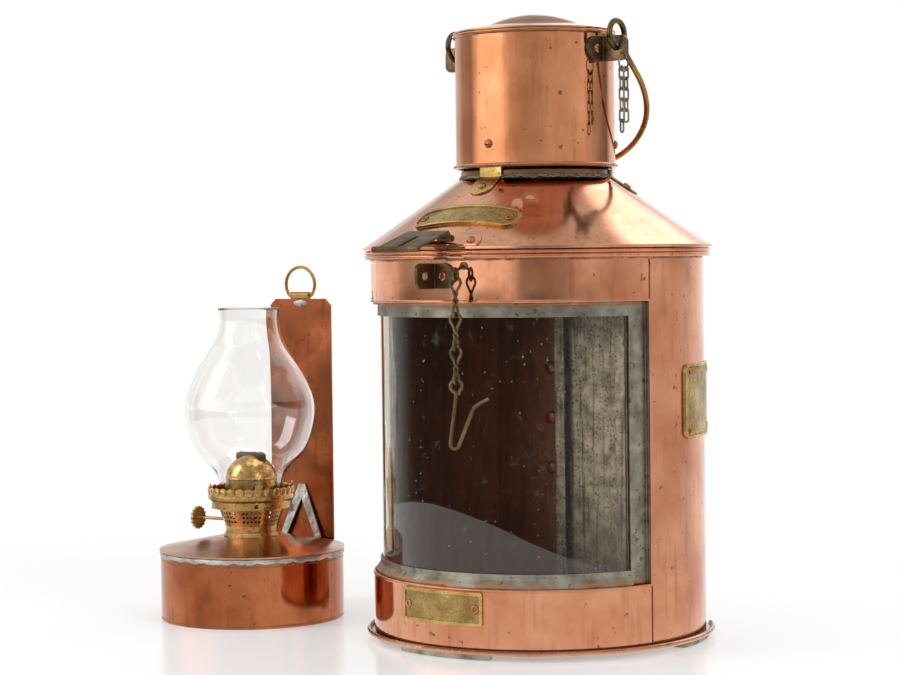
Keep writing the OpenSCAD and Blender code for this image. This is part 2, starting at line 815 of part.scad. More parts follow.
// The roof's outer form, filled
module cylinder_cone() {
    rotate_extrude() polygon([[0, roof_z], [roof_r, roof_z], [roof_r, cone_z0], [cone_r0, cone_z0],
        [cone_r1, cone_z1], [0, cone_z1]]);
}

module flue_neck() {
    skirt = 6;
    color(copper) rotate_extrude() {
        translate([neck_r - sheet, cone_z1 - skirt]) square([sheet, skirt + neck_h]);
        translate([neck_r - sheet, cone_z1 + neck_h]) circle(r = sheet);
    }
}

module chimney_drum() {
    color(copper) rotate_extrude() {
        translate([drum_r - sheet, drum_z0]) square([sheet, drum_h]);
        for (z = [drum_z0 + drum_roll_r, drum_z1 - drum_roll_r])
            translate([drum_r - sheet + drum_roll_r + 0.1, z]) circle(r = drum_roll_r);
    }
}

module chimney_cap() {
    brim_z = drum_z1 + seat;
    dome_z = brim_z + brim_rise;
    ball_r = (dome_r * dome_r + dome_rise * dome_rise) / (2 * dome_rise);
    color(copper) {
        rotate_extrude() {
            polygon([[drum_r + 1.2, brim_z], [drum_r + 1.2, brim_z + sheet], [dome_r, dome_z],
                [dome_r - sheet, dome_z], [dome_r - sheet, dome_z - sheet]]);
            intersection() {
                translate([0, dome_z + dome_rise - ball_r]) difference() {
                    circle(r = ball_r);
                    circle(r = ball_r - sheet);
                }
                translate([0, dome_z - sheet]) square([dome_r, dome_rise + 2 * sheet]);
            }
        }
    }
}

// A strap from the cone up into the chimney drum
module chimney_bracket(a) {
    leg_r = drum_r - sheet - seat;
    leg_top = drum_z0 + 24;
    tongue_len = 21;
    bend_z = cone_z(leg_r) + 1;
    color(brass) rotate([0, 0, a]) {
        intersection() {
            translate([-bracket_w / 2, -2 * leg_r, bend_z]) cube([bracket_w, 2 * leg_r, leg_top - bend_z]);
            translate([0, 0, bend_z]) linear_extrude(leg_top - bend_z) difference() {
                circle(r = leg_r);
                circle(r = leg_r - bracket_t);
            }
        }
        translate([0, -leg_r, cone_z(leg_r)]) rotate([cone_tilt, 0, 0]) translate([0, 0, seat])
            linear_extrude(bracket_t) {
                translate([-bracket_w / 2, -tongue_len + bracket_w / 2])
                    square([bracket_w, tongue_len - bracket_w / 2 + 1.6]);
                translate([0, -tongue_len + bracket_w / 2]) circle(d = bracket_w);
            }
    }
}

module chimney_bracket_front() { chimney_bracket(0); }

module chimney_bracket_right() { chimney_bracket(120); }

module chimney_bracket_left() { chimney_bracket(-120); }

// An ear on the drum; the fold stands on the bail's axis plane
module ear(a, holes) {
    color(bronze) difference() {
        on_wall(a, drum_r + seat, ear_z) scale_x(-1)
            folded_lug(drum_r + seat, ear_reach, 2 * ear_r, ear_hole_x - drum_r, ear_hole_r);
        for (h = holes) rotate([0, 0, a]) translate([0, -h, chain_hole_z]) rotate([0, 90, 0])
            cylinder(r = chain_hole_r, h = 4 * lug_t, center = true);
    }
}

module ear_right() { ear(90, [chain_hole_x]); }

module ear_left() { ear(-90, []); }

module title_plate() {
    round_end = title_plate_h * 0.4;
    face = [seat, seat + plate_t, seat + plate_t + plate_rim];
    inner = [title_plate_w - 2 * plate_rim_w, title_plate_h - 2 * plate_rim_w];
    color(brass) {
        intersection() {
            cone_skin(face[0], face[1]);
            on_cone(title_plate_az, title_plate_mid_r) translate([0, 0, -40]) linear_extrude(80)
                round_rect(title_plate_w, title_plate_h, round_end);
        }
        intersection() {
            cone_skin(face[0], face[2]);
            on_cone(title_plate_az, title_plate_mid_r) translate([0, 0, -40]) linear_extrude(80)
                difference() {
                    round_rect(title_plate_w, title_plate_h, round_end);
                    round_rect(inner[0], inner[1], round_end - plate_rim_w);
                }
        }
    }
}

// A skin that lies over the cone, from one distance off it to another
module cone_skin(d0, d1) {
    z0 = d0 / cos(cone_tilt);
    z1 = d1 / cos(cone_tilt);
    rotate_extrude() polygon([[cone_r0, cone_z0 + z0], [cone_r0, cone_z0 + z1],
        [cone_r1, cone_z1 + z1], [cone_r1, cone_z1 + z0]]);
}

module roof_rivets() {
    title_x = title_plate_w / 2 - plate_rim_w - rivet_r - 3.5;
    strap_x = strap_len / 2 - strap_h / 2;
    tongue_r = drum_r + 8;
    color(copper) {
        for (s = [-1, 1]) {
            title_a = asin(s * title_x / title_plate_mid_r);
            strap_a = asin(s * strap_x / strap_r);
            on_cone(title_plate_az + title_a, level_r(title_plate_mid_r, title_a))
                translate([0, 0, seat + plate_t]) rivet_head();
            on_cone(strap_a, level_r(strap_r, strap_a)) translate([0, 0, seat + sheet]) rivet_head();
        }
        for (a = [0, 120, -120]) {
            on_cone(a, tongue_r) translate([0, 0, seat + bracket_t]) rivet_head();
            on_wall(a, drum_r, drum_z0 + 17) rivet_head();
        }
        for (a = [90, -90]) on_wall(a - asin(pad_x(2 * ear_r) / drum_r), drum_r + seat + lug_t, ear_z)
            rivet_head();
    }
}

// The strap on the cone that carries the hasp's hinge
module hasp_strap() {
    barrel = hasp_w / 3;
    color(copper) {
        intersection() {
            cone_skin(seat, seat + sheet);
            on_cone(0, strap_r) translate([0, 0, -30]) linear_extrude(60)
                round_rect(strap_len, strap_h, strap_h * 0.42);
        }
        difference() {
            union() {
                translate([-barrel / 2 + knuckle_gap / 2, -hasp_axis_r, hasp_axis_z]) rotate([0, 90, 0])
                    cylinder(r = hasp_knuckle_r, h = barrel - knuckle_gap);
                translate([-barrel / 2 + knuckle_gap / 2, -hasp_axis_r, hasp_axis_z]) rotate([0, 90, 0])
                    rotate([0, 0, 90 + cone_tilt]) linear_extrude(barrel - knuckle_gap)
                        translate([0, -hasp_knuckle_r - sheet * 0.7]) square([strap_h * 0.7, sheet * 1.2]);
            }
            translate([-hasp_w, -hasp_axis_r, hasp_axis_z]) rotate([0, 90, 0])
                cylinder(r = hasp_pin_r + pin_play, h = 2 * hasp_w);
        }
    }
}

module hasp_pin() {
    pin_len = hasp_w + 2;
    color(bronze) translate([-pin_len / 2, -hasp_axis_r, hasp_axis_z]) rotate([0, 90, 0])
        cylinder(r = hasp_pin_r, h = pin_len);
}

// The hasp in its closed place, then lifted about its pin
module hasp() {
    color(bronze) translate([0, -hasp_axis_r, hasp_axis_z]) rotate([-hasp_lift, 0, 0])
        translate([0, hasp_axis_r, -hasp_axis_z]) hasp_closed();
}

module hasp_closed() {
    barrel = hasp_w / 3;
    axis = [-hasp_axis_r, hasp_axis_z];
    knee = [-hasp_knee_r, hasp_knee_z];
    foot = [-hasp_knee_r, hasp_end_z];
    arm = unit(knee - axis);
    arm_side = [-arm[1], arm[0]] * hasp_t / 2;
    foot_side = [hasp_t / 2, 0];
    knee_side = (arm_side + foot_side) / (1 - arm[1]);
    slot_w = lug_t + 1.6;
    gap_d = hasp_knuckle_r + 0.6;
    difference() {
        union() {
            translate([-hasp_w / 2, 0, 0]) rotate([90, 0, 90]) linear_extrude(hasp_w) {
                translate(axis) circle(r = hasp_knuckle_r);
                polygon([axis + arm_side, knee + knee_side, foot + foot_side,
                    foot - foot_side, knee - knee_side, axis - arm_side]);
            }
            translate([-hasp_w / 2 - 2, -hasp_knee_r, hasp_end_z]) rotate([0, 90, 0])
                cylinder(r = hasp_roll_r, h = hasp_w + 4);
        }
        translate([-barrel / 2, -hasp_axis_r - gap_d, hasp_axis_z - gap_d])
            cube([barrel, 2 * gap_d, 2 * gap_d]);
        translate([-hasp_w, -hasp_axis_r, hasp_axis_z]) rotate([0, 90, 0])
            cylinder(r = hasp_pin_r + pin_play, h = 2 * hasp_w);
        translate([-slot_w / 2, -hasp_knee_r - 2 * hasp_t, slot_mid_z - slot_h / 2])
            cube([slot_w, 4 * hasp_t, slot_h]);
    }
}

// The bail in its own plane, hanging straight down from z = 0, then leaned back
module bail() {
    w = bail_rod_r;
    side_r = 58;
    bow = bail_len - bail_wide_v;
    side_x = bail_half_w - side_r;
    crown_r = (side_x * side_x + bow * bow - side_r * side_r) / (2 * (bow - side_r));
    join = atan2(crown_r - bow, side_x);
    reach = [ear_hole_x - side_x, bail_wide_v - bail_ring_r];
    leave = atan2(reach[1], reach[0]) - acos(min(1, side_r / norm(reach)));
    meet = [side_x + side_r * cos(join), 0, -bail_wide_v - side_r * sin(join)];
    shoulder = [side_x + side_r * cos(leave), 0, -bail_wide_v + side_r * sin(leave)];
    neck = [ear_hole_x, 0, -bail_ring_r];
    color(brass) translate([0, 0, bail_z]) rotate([bail_lean, 0, 0]) {
        translate([0, 0, -bail_len + crown_r]) wire_arc(crown_r, w, 180 + join, 360 - join);
        for (s = [-1, 1]) scale_x(s) {
            wire_joint(meet, w);
            translate([side_x, 0, -bail_wide_v]) wire_arc(side_r, w, -join, leave);
            wire_joint(shoulder, w);
            wire_rod(shoulder, neck, w);
            translate(neck) sphere(r = 1.2 * w);
            translate([ear_hole_x, 0, 0]) rotate([0, 0, 90]) wire_arc(bail_ring_r, w, bail_gap - 450, -90);
        }
    }
}

// An oval wire link that hangs from z = 0, in the XZ plane
module oval_link(len, half_w) {
    foot = len - half_w;
    translate([0, 0, -half_w]) wire_arc(half_w, chain_wire_r, 0, 180);
    translate([0, 0, -foot]) wire_arc(half_w, chain_wire_r, 180, 360);
    for (s = [-1, 1]) {
        wire_joint([s * half_w, 0, -half_w], chain_wire_r);
        wire_joint([s * half_w, 0, -foot], chain_wire_r);
        wire_rod([s * half_w, 0, -half_w], [s * half_w, 0, -foot], chain_wire_r);
    }
}

// A small chain hung double on the right ear: a ring and two strands, one a link longer
module ear_chain() {
    ring_r = 6;
    link_len = 9.4;
    half_w = 1.9;
    counts = [6, 5];
    drop = 2 * chain_wire_r + link_gap;
    pitch = link_len - drop;
    strand_y = half_w + chain_wire_r + link_gap;
    strand_top = chain_hole_z - ring_r - sqrt(pow(ring_r - drop, 2) - strand_y * strand_y);
    color(bronze) {
        translate([chain_hole_x, 0, chain_hole_z - ring_r]) rotate([0, 0, 90])
            wire_arc(ring_r, chain_wire_r, 0, 360);
        for (k = [0, 1], i = [0 : counts[k] - 1])
            translate([chain_hole_x, (2 * k - 1) * strand_y, strand_top - i * pitch]) rotate([0, 0, 90 * i])
                oval_link(link_len, half_w);
    }
}

// The oil lamp, about its own axis, with its back plate towards +Y

module lamp_place() { translate([lamp_x, lamp_y, 0]) rotate([0, 0, lamp_turn]) children(); }

module fount_body() {
    color(copper) lamp_place() difference() {
        cylinder(r = fount_r, h = fount_h);
        translate([0, 0, fount_t]) cylinder(r = fount_r - fount_t, h = fount_h);
    }
}

module fount_top() {
    color(copper) lamp_place() rotate_extrude() polygon([
        [collar_r - 2, fount_top_z], [collar_r + 3, fount_top_z], [fount_rim_r, fount_h + seat + fount_t],
        [fount_rim_r, fount_h + seat], [collar_r + 3, fount_top_z - fount_t],
        [collar_r - 2, fount_top_z - fount_t]
    ]);
}

module solder_seam() {
    color(tinned) lamp_place() rotate_extrude()
        translate([fount_r + seat, fount_h - 5]) polygon([[0, 0], [0.6, 1], [0.7, 4.6], [0, 5]]);
}

module burner_collar() {
    color(brass) lamp_place() translate([0, 0, fount_top_z]) difference() {
        union() {
            cylinder(r = collar_r, h = collar_h * 0.5);
            cylinder(r = collar_r - 1.2, h = collar_h - seat);
        }
        translate([0, 0, -eps]) cylinder(r = collar_r - 3, h = collar_h + 2 * eps);
    }
}

module lamp_back_plate() {
    clip = 5;
    plate_z0 = 6;
    half = lamp_plate_w / 2;
    color(copper) lamp_place() translate([0, plate_face_y + lamp_plate_t, 0]) rotate([90, 0, 0])
        linear_extrude(lamp_plate_t) polygon([
            [-half, plate_z0], [half, plate_z0], [half, lamp_plate_top - clip], [half - clip, lamp_plate_top],
            [-half + clip, lamp_plate_top], [-half, lamp_plate_top - clip]
        ]);
}

// An A-shaped strip from the fount's top up to the back plate
module lamp_stay() {
    strip = 6;
    spread = 20;
    rise = 43;
    run = 3;
    foot_y = plate_face_y - seat - run;
    foot_r = norm([spread - strip, foot_y]);
    foot_z = fount_h + fount_t + 5 * seat + (fount_rim_r - foot_r) * fount_slope;
    length = norm([rise, run]);
    color(tinned) lamp_place() translate([0, foot_y, foot_z]) rotate([atan2(rise, run), 0, 0])
        linear_extrude(1.6) polygon([
            [spread, 0], [spread - strip, 0], [0, length - strip * 2], [strip - spread, 0], [-spread, 0],
            [-strip / 2, length], [strip / 2, length]
        ]);
}

module ring_bar() {
    color(tinned) lamp_place() translate([-ring_bar_w / 2, ring_y, ring_z]) rotate([0, 90, 0]) difference() {
        cylinder(r = ring_bar_r, h = ring_bar_w);
        translate([0, 0, -eps]) cylinder(r = lift_wire_r + pin_play, h = ring_bar_w + 2 * eps);
    }
}

// A wire ring whose straight foot turns in the ring bar
module lift_ring() {
    foot_half = ring_bar_w / 2 + lift_wire_r + 0.4;
    open = acos(foot_half / lift_ring_r);
    color(brass) lamp_place() translate([0, ring_y, ring_z]) {
        translate([0, 0, lift_ring_r * sin(open)]) wire_arc(lift_ring_r, lift_wire_r, -open, 180 + open);
        wire_rod([-foot_half, 0, 0], [foot_half, 0, 0], lift_wire_r);
        for (s = [-1, 1]) wire_joint([s * foot_half, 0, 0], lift_wire_r);
    }
}

module burner_basket() {
    groups = 7;
    columns = 5;
    rows = 3;
    pitch = 1.75 * hole_w;
    color(brass) lamp_place() difference() {
        rotate_extrude() polygon([
            [basket_r0 - 4, basket_z0], [basket_r0, basket_z0], [basket_r0 + 0.6, basket_z0 + 5],
            [basket_r1, basket_z1], [basket_r1 - burner_t, basket_z1],
            [basket_r0 + 0.6 - burner_t, basket_z0 + 5], [basket_r0 - burner_t, basket_z0 + burner_t],
            [basket_r0 - 4, basket_z0 + burner_t]
        ]);
        translate([0, spindle_y, spindle_z]) rotate([0, -90, 0])
            cylinder(r = spindle_r + pin_play, h = 2 * basket_r1);
        for (g = [0 : groups - 1], c = [0 : columns - 1], r = [0 : rows - 1]) {
            turn = -55 + g * 360 / groups + (c - (columns - 1) / 2) * 360 * pitch / (2 * PI * basket_r1);
            hole_z = basket_z1 - 3.2 - r * pitch - hole_w / 2;
            rotate([0, 0, turn]) translate([basket_r0 - 2, -hole_w / 2, hole_z])
                cube([basket_r1, hole_w, hole_w]);
        }
    }
}

module burner_gallery() {
    step_r = gallery_r - 2.8;
    floor_r = dome_base_r - 2;
    lip_r = gallery_r - 2 * burner_t;
    step_z = gallery_z0 + 0.46 * gallery_h;
    flare_z = gallery_z0 + 0.64 * gallery_h;
    shoulder_z = gallery_z0 + 0.82 * gallery_h;
    color(brass) lamp_place() difference() {
        rotate_extrude() polygon([
            [floor_r, gallery_z0], [step_r, gallery_z0], [step_r, step_z], [gallery_r, flare_z],
            [gallery_r, shoulder_z], [gallery_r - burner_t, gallery_z1], [lip_r, gallery_z1],
            [lip_r, flare_z + burner_t], [step_r - burner_t, step_z + burner_t],
            [step_r - burner_t, gallery_z0 + burner_t], [floor_r, gallery_z0 + burner_t]
        ]);
        for (a = [0, 120, 240]) rotate([0, 0, a - 48])
            translate([step_r - 3, -1.6, gallery_z0 + burner_t + 0.4]) cube([6, 3.2, 3]);
    }
}

// The scalloped edge on the gallery and its taller prongs
// A low scalloped fence with four taller prongs standing between its scallops
module gallery_crown() {
    scallops = 28;
    prongs = 4;
    per_prong = scallops / prongs;
    pitch = 360 / scallops;
    crown_r = gallery_r - 2 * burner_t;
    fence_h = 4;
    notch_r = crown_r * PI / scallops * 0.62;
    prong_half = pitch * 0.4;
    color(brass) lamp_place() translate([0, 0, gallery_z1 + seat]) difference() {
        cylinder(r = crown_r + burner_t, h = prong_h);
        translate([0, 0, -eps]) cylinder(r = crown_r, h = prong_h + 2 * eps);
        for (i = [0 : prongs - 1])
            translate([0, 0, fence_h]) linear_extrude(prong_h)
                wedge((i - 0.5) * 90 + prong_half, (i + 0.5) * 90 - prong_half, crown_r);
        for (i = [0 : scallops - 1])
            if (i % per_prong != (per_prong - 1) / 2)
                on_wall((i + 0.5) * pitch, crown_r - 1, fence_h + 0.3) cylinder(r = notch_r, h = 3);
    }
}

module burner_dome() {
    waist_z = dome_z0 + 0.54 * burner_dome_h;
    cap_r = dome_base_r - 1;
    cap_h = dome_top - waist_z;
    ball_r = (cap_r * cap_r + cap_h * cap_h) / (2 * cap_h);
    slot_w = 2 * tube_half_t + 0.6;
    slot_len = wick_w + 4.8;
    color(brass) lamp_place() difference() {
        rotate_extrude() {
            polygon([
                [dome_base_r, dome_z0], [cap_r, waist_z + burner_t],
                [cap_r - burner_t, waist_z + burner_t], [dome_base_r - burner_t, dome_z0]
            ]);
            translate([cap_r - burner_t / 2, waist_z]) circle(r = burner_t * 0.9);
            intersection() {
                translate([0, dome_top - ball_r]) difference() {
                    circle(r = ball_r);
                    circle(r = ball_r - burner_t);
                }
                translate([0, waist_z]) square([2 * cap_r, cap_h + burner_t]);
            }
        }
        translate([-slot_len / 2, -slot_w / 2, dome_top - 9]) cube([slot_len, slot_w, 18]);
    }
}

// A flat outline with rounded ends, for the wick and its tube
module flat_tube(w, t) { round_rect(w, t, t * 0.3); }

module wick_tube() {
    tube_z0 = basket_z0 - 14;
    inner_t = wick_t + 2 * wick_gap;
    inner_w = wick_w + 2 * wick_gap;
    wheel_slot = 2.6;
    color(brass) lamp_place() difference() {
        union() {
            translate([0, 0, tube_z0]) linear_extrude(tube_top - tube_z0)
                flat_tube(inner_w + 2 * burner_t, inner_t + 2 * burner_t);
            translate([0, 0, basket_z0 + burner_t + seat])
                cylinder(r = basket_r0 - burner_t - 0.4, h = burner_t);
            translate([0, 0, basket_z0 - 2]) cylinder(r = basket_r0 - 4.2, h = 4);
        }
        translate([0, 0, tube_z0 - eps]) linear_extrude(tube_top - tube_z0 + 2 * eps)
            flat_tube(inner_w, inner_t);
        for (s = [-1, 1]) translate([s * wick_w / 4 - wheel_slot / 2, -2 * tube_half_t, spindle_z - feed_r])
            cube([wheel_slot, 2 * tube_half_t, 2 * feed_r]);
    }
}

module wick() {
    wick_z0 = fount_t + 12;
    color(cotton) lamp_place() translate([0, 0, wick_z0]) linear_extrude(wick_top - wick_z0)
        flat_tube(wick_w, wick_t);
}

module wick_spindle() {
    teeth = 10;
    wheel_t = 1.8;
    inner_end = wick_w / 4 + 4;
    color(brass) lamp_place() translate([0, spindle_y, spindle_z]) {
        translate([inner_end, 0, 0]) rotate([0, -90, 0]) cylinder(r = spindle_r, h = thumb_reach + inner_end);
        for (s = [-1, 1]) translate([s * wick_w / 4 + wheel_t / 2, 0, 0]) rotate([0, -90, 0])
            linear_extrude(wheel_t) polygon([
                for (i = [0 : 2 * teeth - 1])
                    let (a = i * 180 / teeth, r = feed_r * (1 - 0.22 * (i % 2))) [r * cos(a), r * sin(a)]
            ]);
    }
}

// The knurled thumbwheel on the spindle's outer end
module thumbwheel() {
    lobes = 16;
    wheel_t = 2;
    lobe_r = 1.1;
    color(brass) lamp_place() translate([-thumb_reach - seat, spindle_y, spindle_z]) rotate([0, -90, 0]) {
        cylinder(r = thumb_r - lobe_r, h = wheel_t);
        for (i = [0 : lobes - 1]) rotate([0, 0, i * 360 / lobes]) translate([thumb_r - lobe_r, 0, 0])
            cylinder(r = lobe_r, h = wheel_t);
        cylinder(r = 2.4, h = wheel_t + 1.2);
    }
}

// Stations of the lamp glass, as shares of its height, with the radius there
glass_stations = [
    [-0.08, chimney_foot_r], [0, chimney_foot_r], [0.09, chimney_foot_r], [0.175, chimney_foot_r + 4],
    [0.3, 0.25 * chimney_foot_r + 0.75 * chimney_bulge_r], [0.5, chimney_bulge_r],
    [0.68, 0.35 * chimney_top_r + 0.65 * chimney_bulge_r], [0.825, chimney_top_r + 3.5],
    [0.92, chimney_top_r - 0.5], [1, chimney_top_r], [1.08, chimney_top_r + 0.4]
];
function smooth(p0, p1, p2, p3, t) = 0.5 * (2 * p1 + (p2 - p0) * t + (2 * p0 - 5 * p1 + 4 * p2 - p3) * t * t
    + (3 * p1 - p0 - 3 * p2 + p3) * t * t * t);
glass_steps = 6;
glass_line = [for (i = [1 : len(glass_stations) - 3], k = [0 : glass_steps - 1])
    let (g = glass_stations) smooth(g[i - 1], g[i], g[i + 1], g[i + 2], k / glass_steps),
    glass_stations[len(glass_stations) - 2]];

module lamp_glass() {
    last = len(glass_line) - 1;
    color(clear_glass) lamp_place() translate([0, 0, glass_foot_z]) rotate_extrude() polygon(concat(
        [for (p = glass_line) [p[1], p[0] * chimney_h]],
        [for (i = [0 : last]) [glass_line[last - i][1] - chimney_t, glass_line[last - i][0] * chimney_h]]));
}

base_plate();
foot_strips();
body_shell();
lower_front_band();
upper_front_band();
top_rim();
window_head();
window_sill();
window_jamb_left();
window_jamb_right();
window_glass();
lamp_guide();
back_bracket();
bracket_rivets();
hinge_leaf_body();
hinge_pin();
staple_lug();
chain_eye();
number_plate();
maker_plate();
plate_rivets();
keeper_link_1();
keeper_link_2();
keeper_link_3();
keeper_hook();
roof_cone();
flue_neck();
chimney_drum();
chimney_cap();
chimney_bracket_front();
chimney_bracket_left();
chimney_bracket_right();
ear_left();
ear_right();
title_plate();
roof_rivets();
hinge_leaf_roof();
hasp_strap();
hasp_pin();
hasp();
bail();
ear_chain();
fount_body();
fount_top();
solder_seam();
burner_collar();
lamp_back_plate();
lamp_stay();
ring_bar();
lift_ring();
burner_basket();
burner_gallery();
gallery_crown();
burner_dome();
wick_tube();
wick();
wick_spindle();
thumbwheel();
lamp_glass();
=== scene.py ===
import math

import bmesh
import bpy
import numpy as np
from mathutils import Matrix, Vector, noise


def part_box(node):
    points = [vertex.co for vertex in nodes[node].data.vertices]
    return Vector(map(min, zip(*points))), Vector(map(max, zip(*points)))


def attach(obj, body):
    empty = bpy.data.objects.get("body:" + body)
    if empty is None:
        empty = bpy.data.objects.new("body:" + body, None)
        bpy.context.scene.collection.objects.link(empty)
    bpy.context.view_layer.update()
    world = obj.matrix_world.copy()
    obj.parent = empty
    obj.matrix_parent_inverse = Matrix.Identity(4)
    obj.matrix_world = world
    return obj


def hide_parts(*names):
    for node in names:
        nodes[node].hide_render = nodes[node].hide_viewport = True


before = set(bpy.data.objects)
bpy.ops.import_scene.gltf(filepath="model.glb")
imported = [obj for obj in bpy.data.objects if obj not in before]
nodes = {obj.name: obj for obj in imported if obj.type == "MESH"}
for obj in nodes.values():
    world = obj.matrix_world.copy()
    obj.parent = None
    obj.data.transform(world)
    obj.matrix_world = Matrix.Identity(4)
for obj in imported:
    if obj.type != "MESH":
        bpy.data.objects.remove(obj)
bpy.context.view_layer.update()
mm = 0.001
print("frame loaded,", len(nodes), "solids")


def hexLinear(text):  # sRGB hex to linear
    out = []
    for i in (1, 3, 5):
        c = int(text[i:i + 2], 16) / 255
        out.append(c / 12.92 if c <= 0.04045 else ((c + 0.055) / 1.055) ** 2.4)
    return (*out, 1.0)


def perMm(size):  # noise scale, per metre, for a mark of this many millimetres
    return 1000.0 / size


def addNode(tree, kind, inputs=(), out=None, **settings):  # inputs by name or in order; gives the node or one output
    node = tree.nodes.new(kind)
    for key, value in settings.items():
        setattr(node, key, value)
    for key, value in inputs.items() if isinstance(inputs, dict) else enumerate(inputs):
        if isinstance(value, bpy.types.NodeSocket):
            tree.links.new(value, node.inputs[key])
        else:
            node.inputs[key].default_value = value
    return node if out is None else node.outputs[out]


def newMaterial(name):
    mat = bpy.data.materials.new(name)
    mat.use_nodes = True
    tree = mat.node_tree
    tree.nodes.clear()
    shader = addNode(tree, "ShaderNodeBsdfPrincipled")
    addNode(tree, "ShaderNodeOutputMaterial", {"Surface": shader.outputs[0]})
    coord = addNode(tree, "ShaderNodeTexCoord", out="Object")
    return mat, tree, shader, coord


def nearHeights(tree, height, levels, fullMm, noneMm):  # 1 at any of these heights in mm, fading to 0 off it
    reach = None
    for level in levels:
        off = addNode(tree, "ShaderNodeMath", (height, level * mm), 0, operation="SUBTRACT")
        off = addNode(tree, "ShaderNodeMath", (off,), 0, operation="ABSOLUTE")
        near = addNode(tree, "ShaderNodeMapRange", (off, fullMm * mm, noneMm * mm, 1.0, 0.0), 0)
        reach = near if reach is None else addNode(tree, "ShaderNodeMath", (reach, near), 0, operation="MAXIMUM")
    return reach


stains = {"carbonate": "#5b5646", "bareCopper": "#b97a52", "bloom": "#566b5c", "patchMm": 9, "bloomMm": 7,
          "bareMm": (0.4, 1.6)}


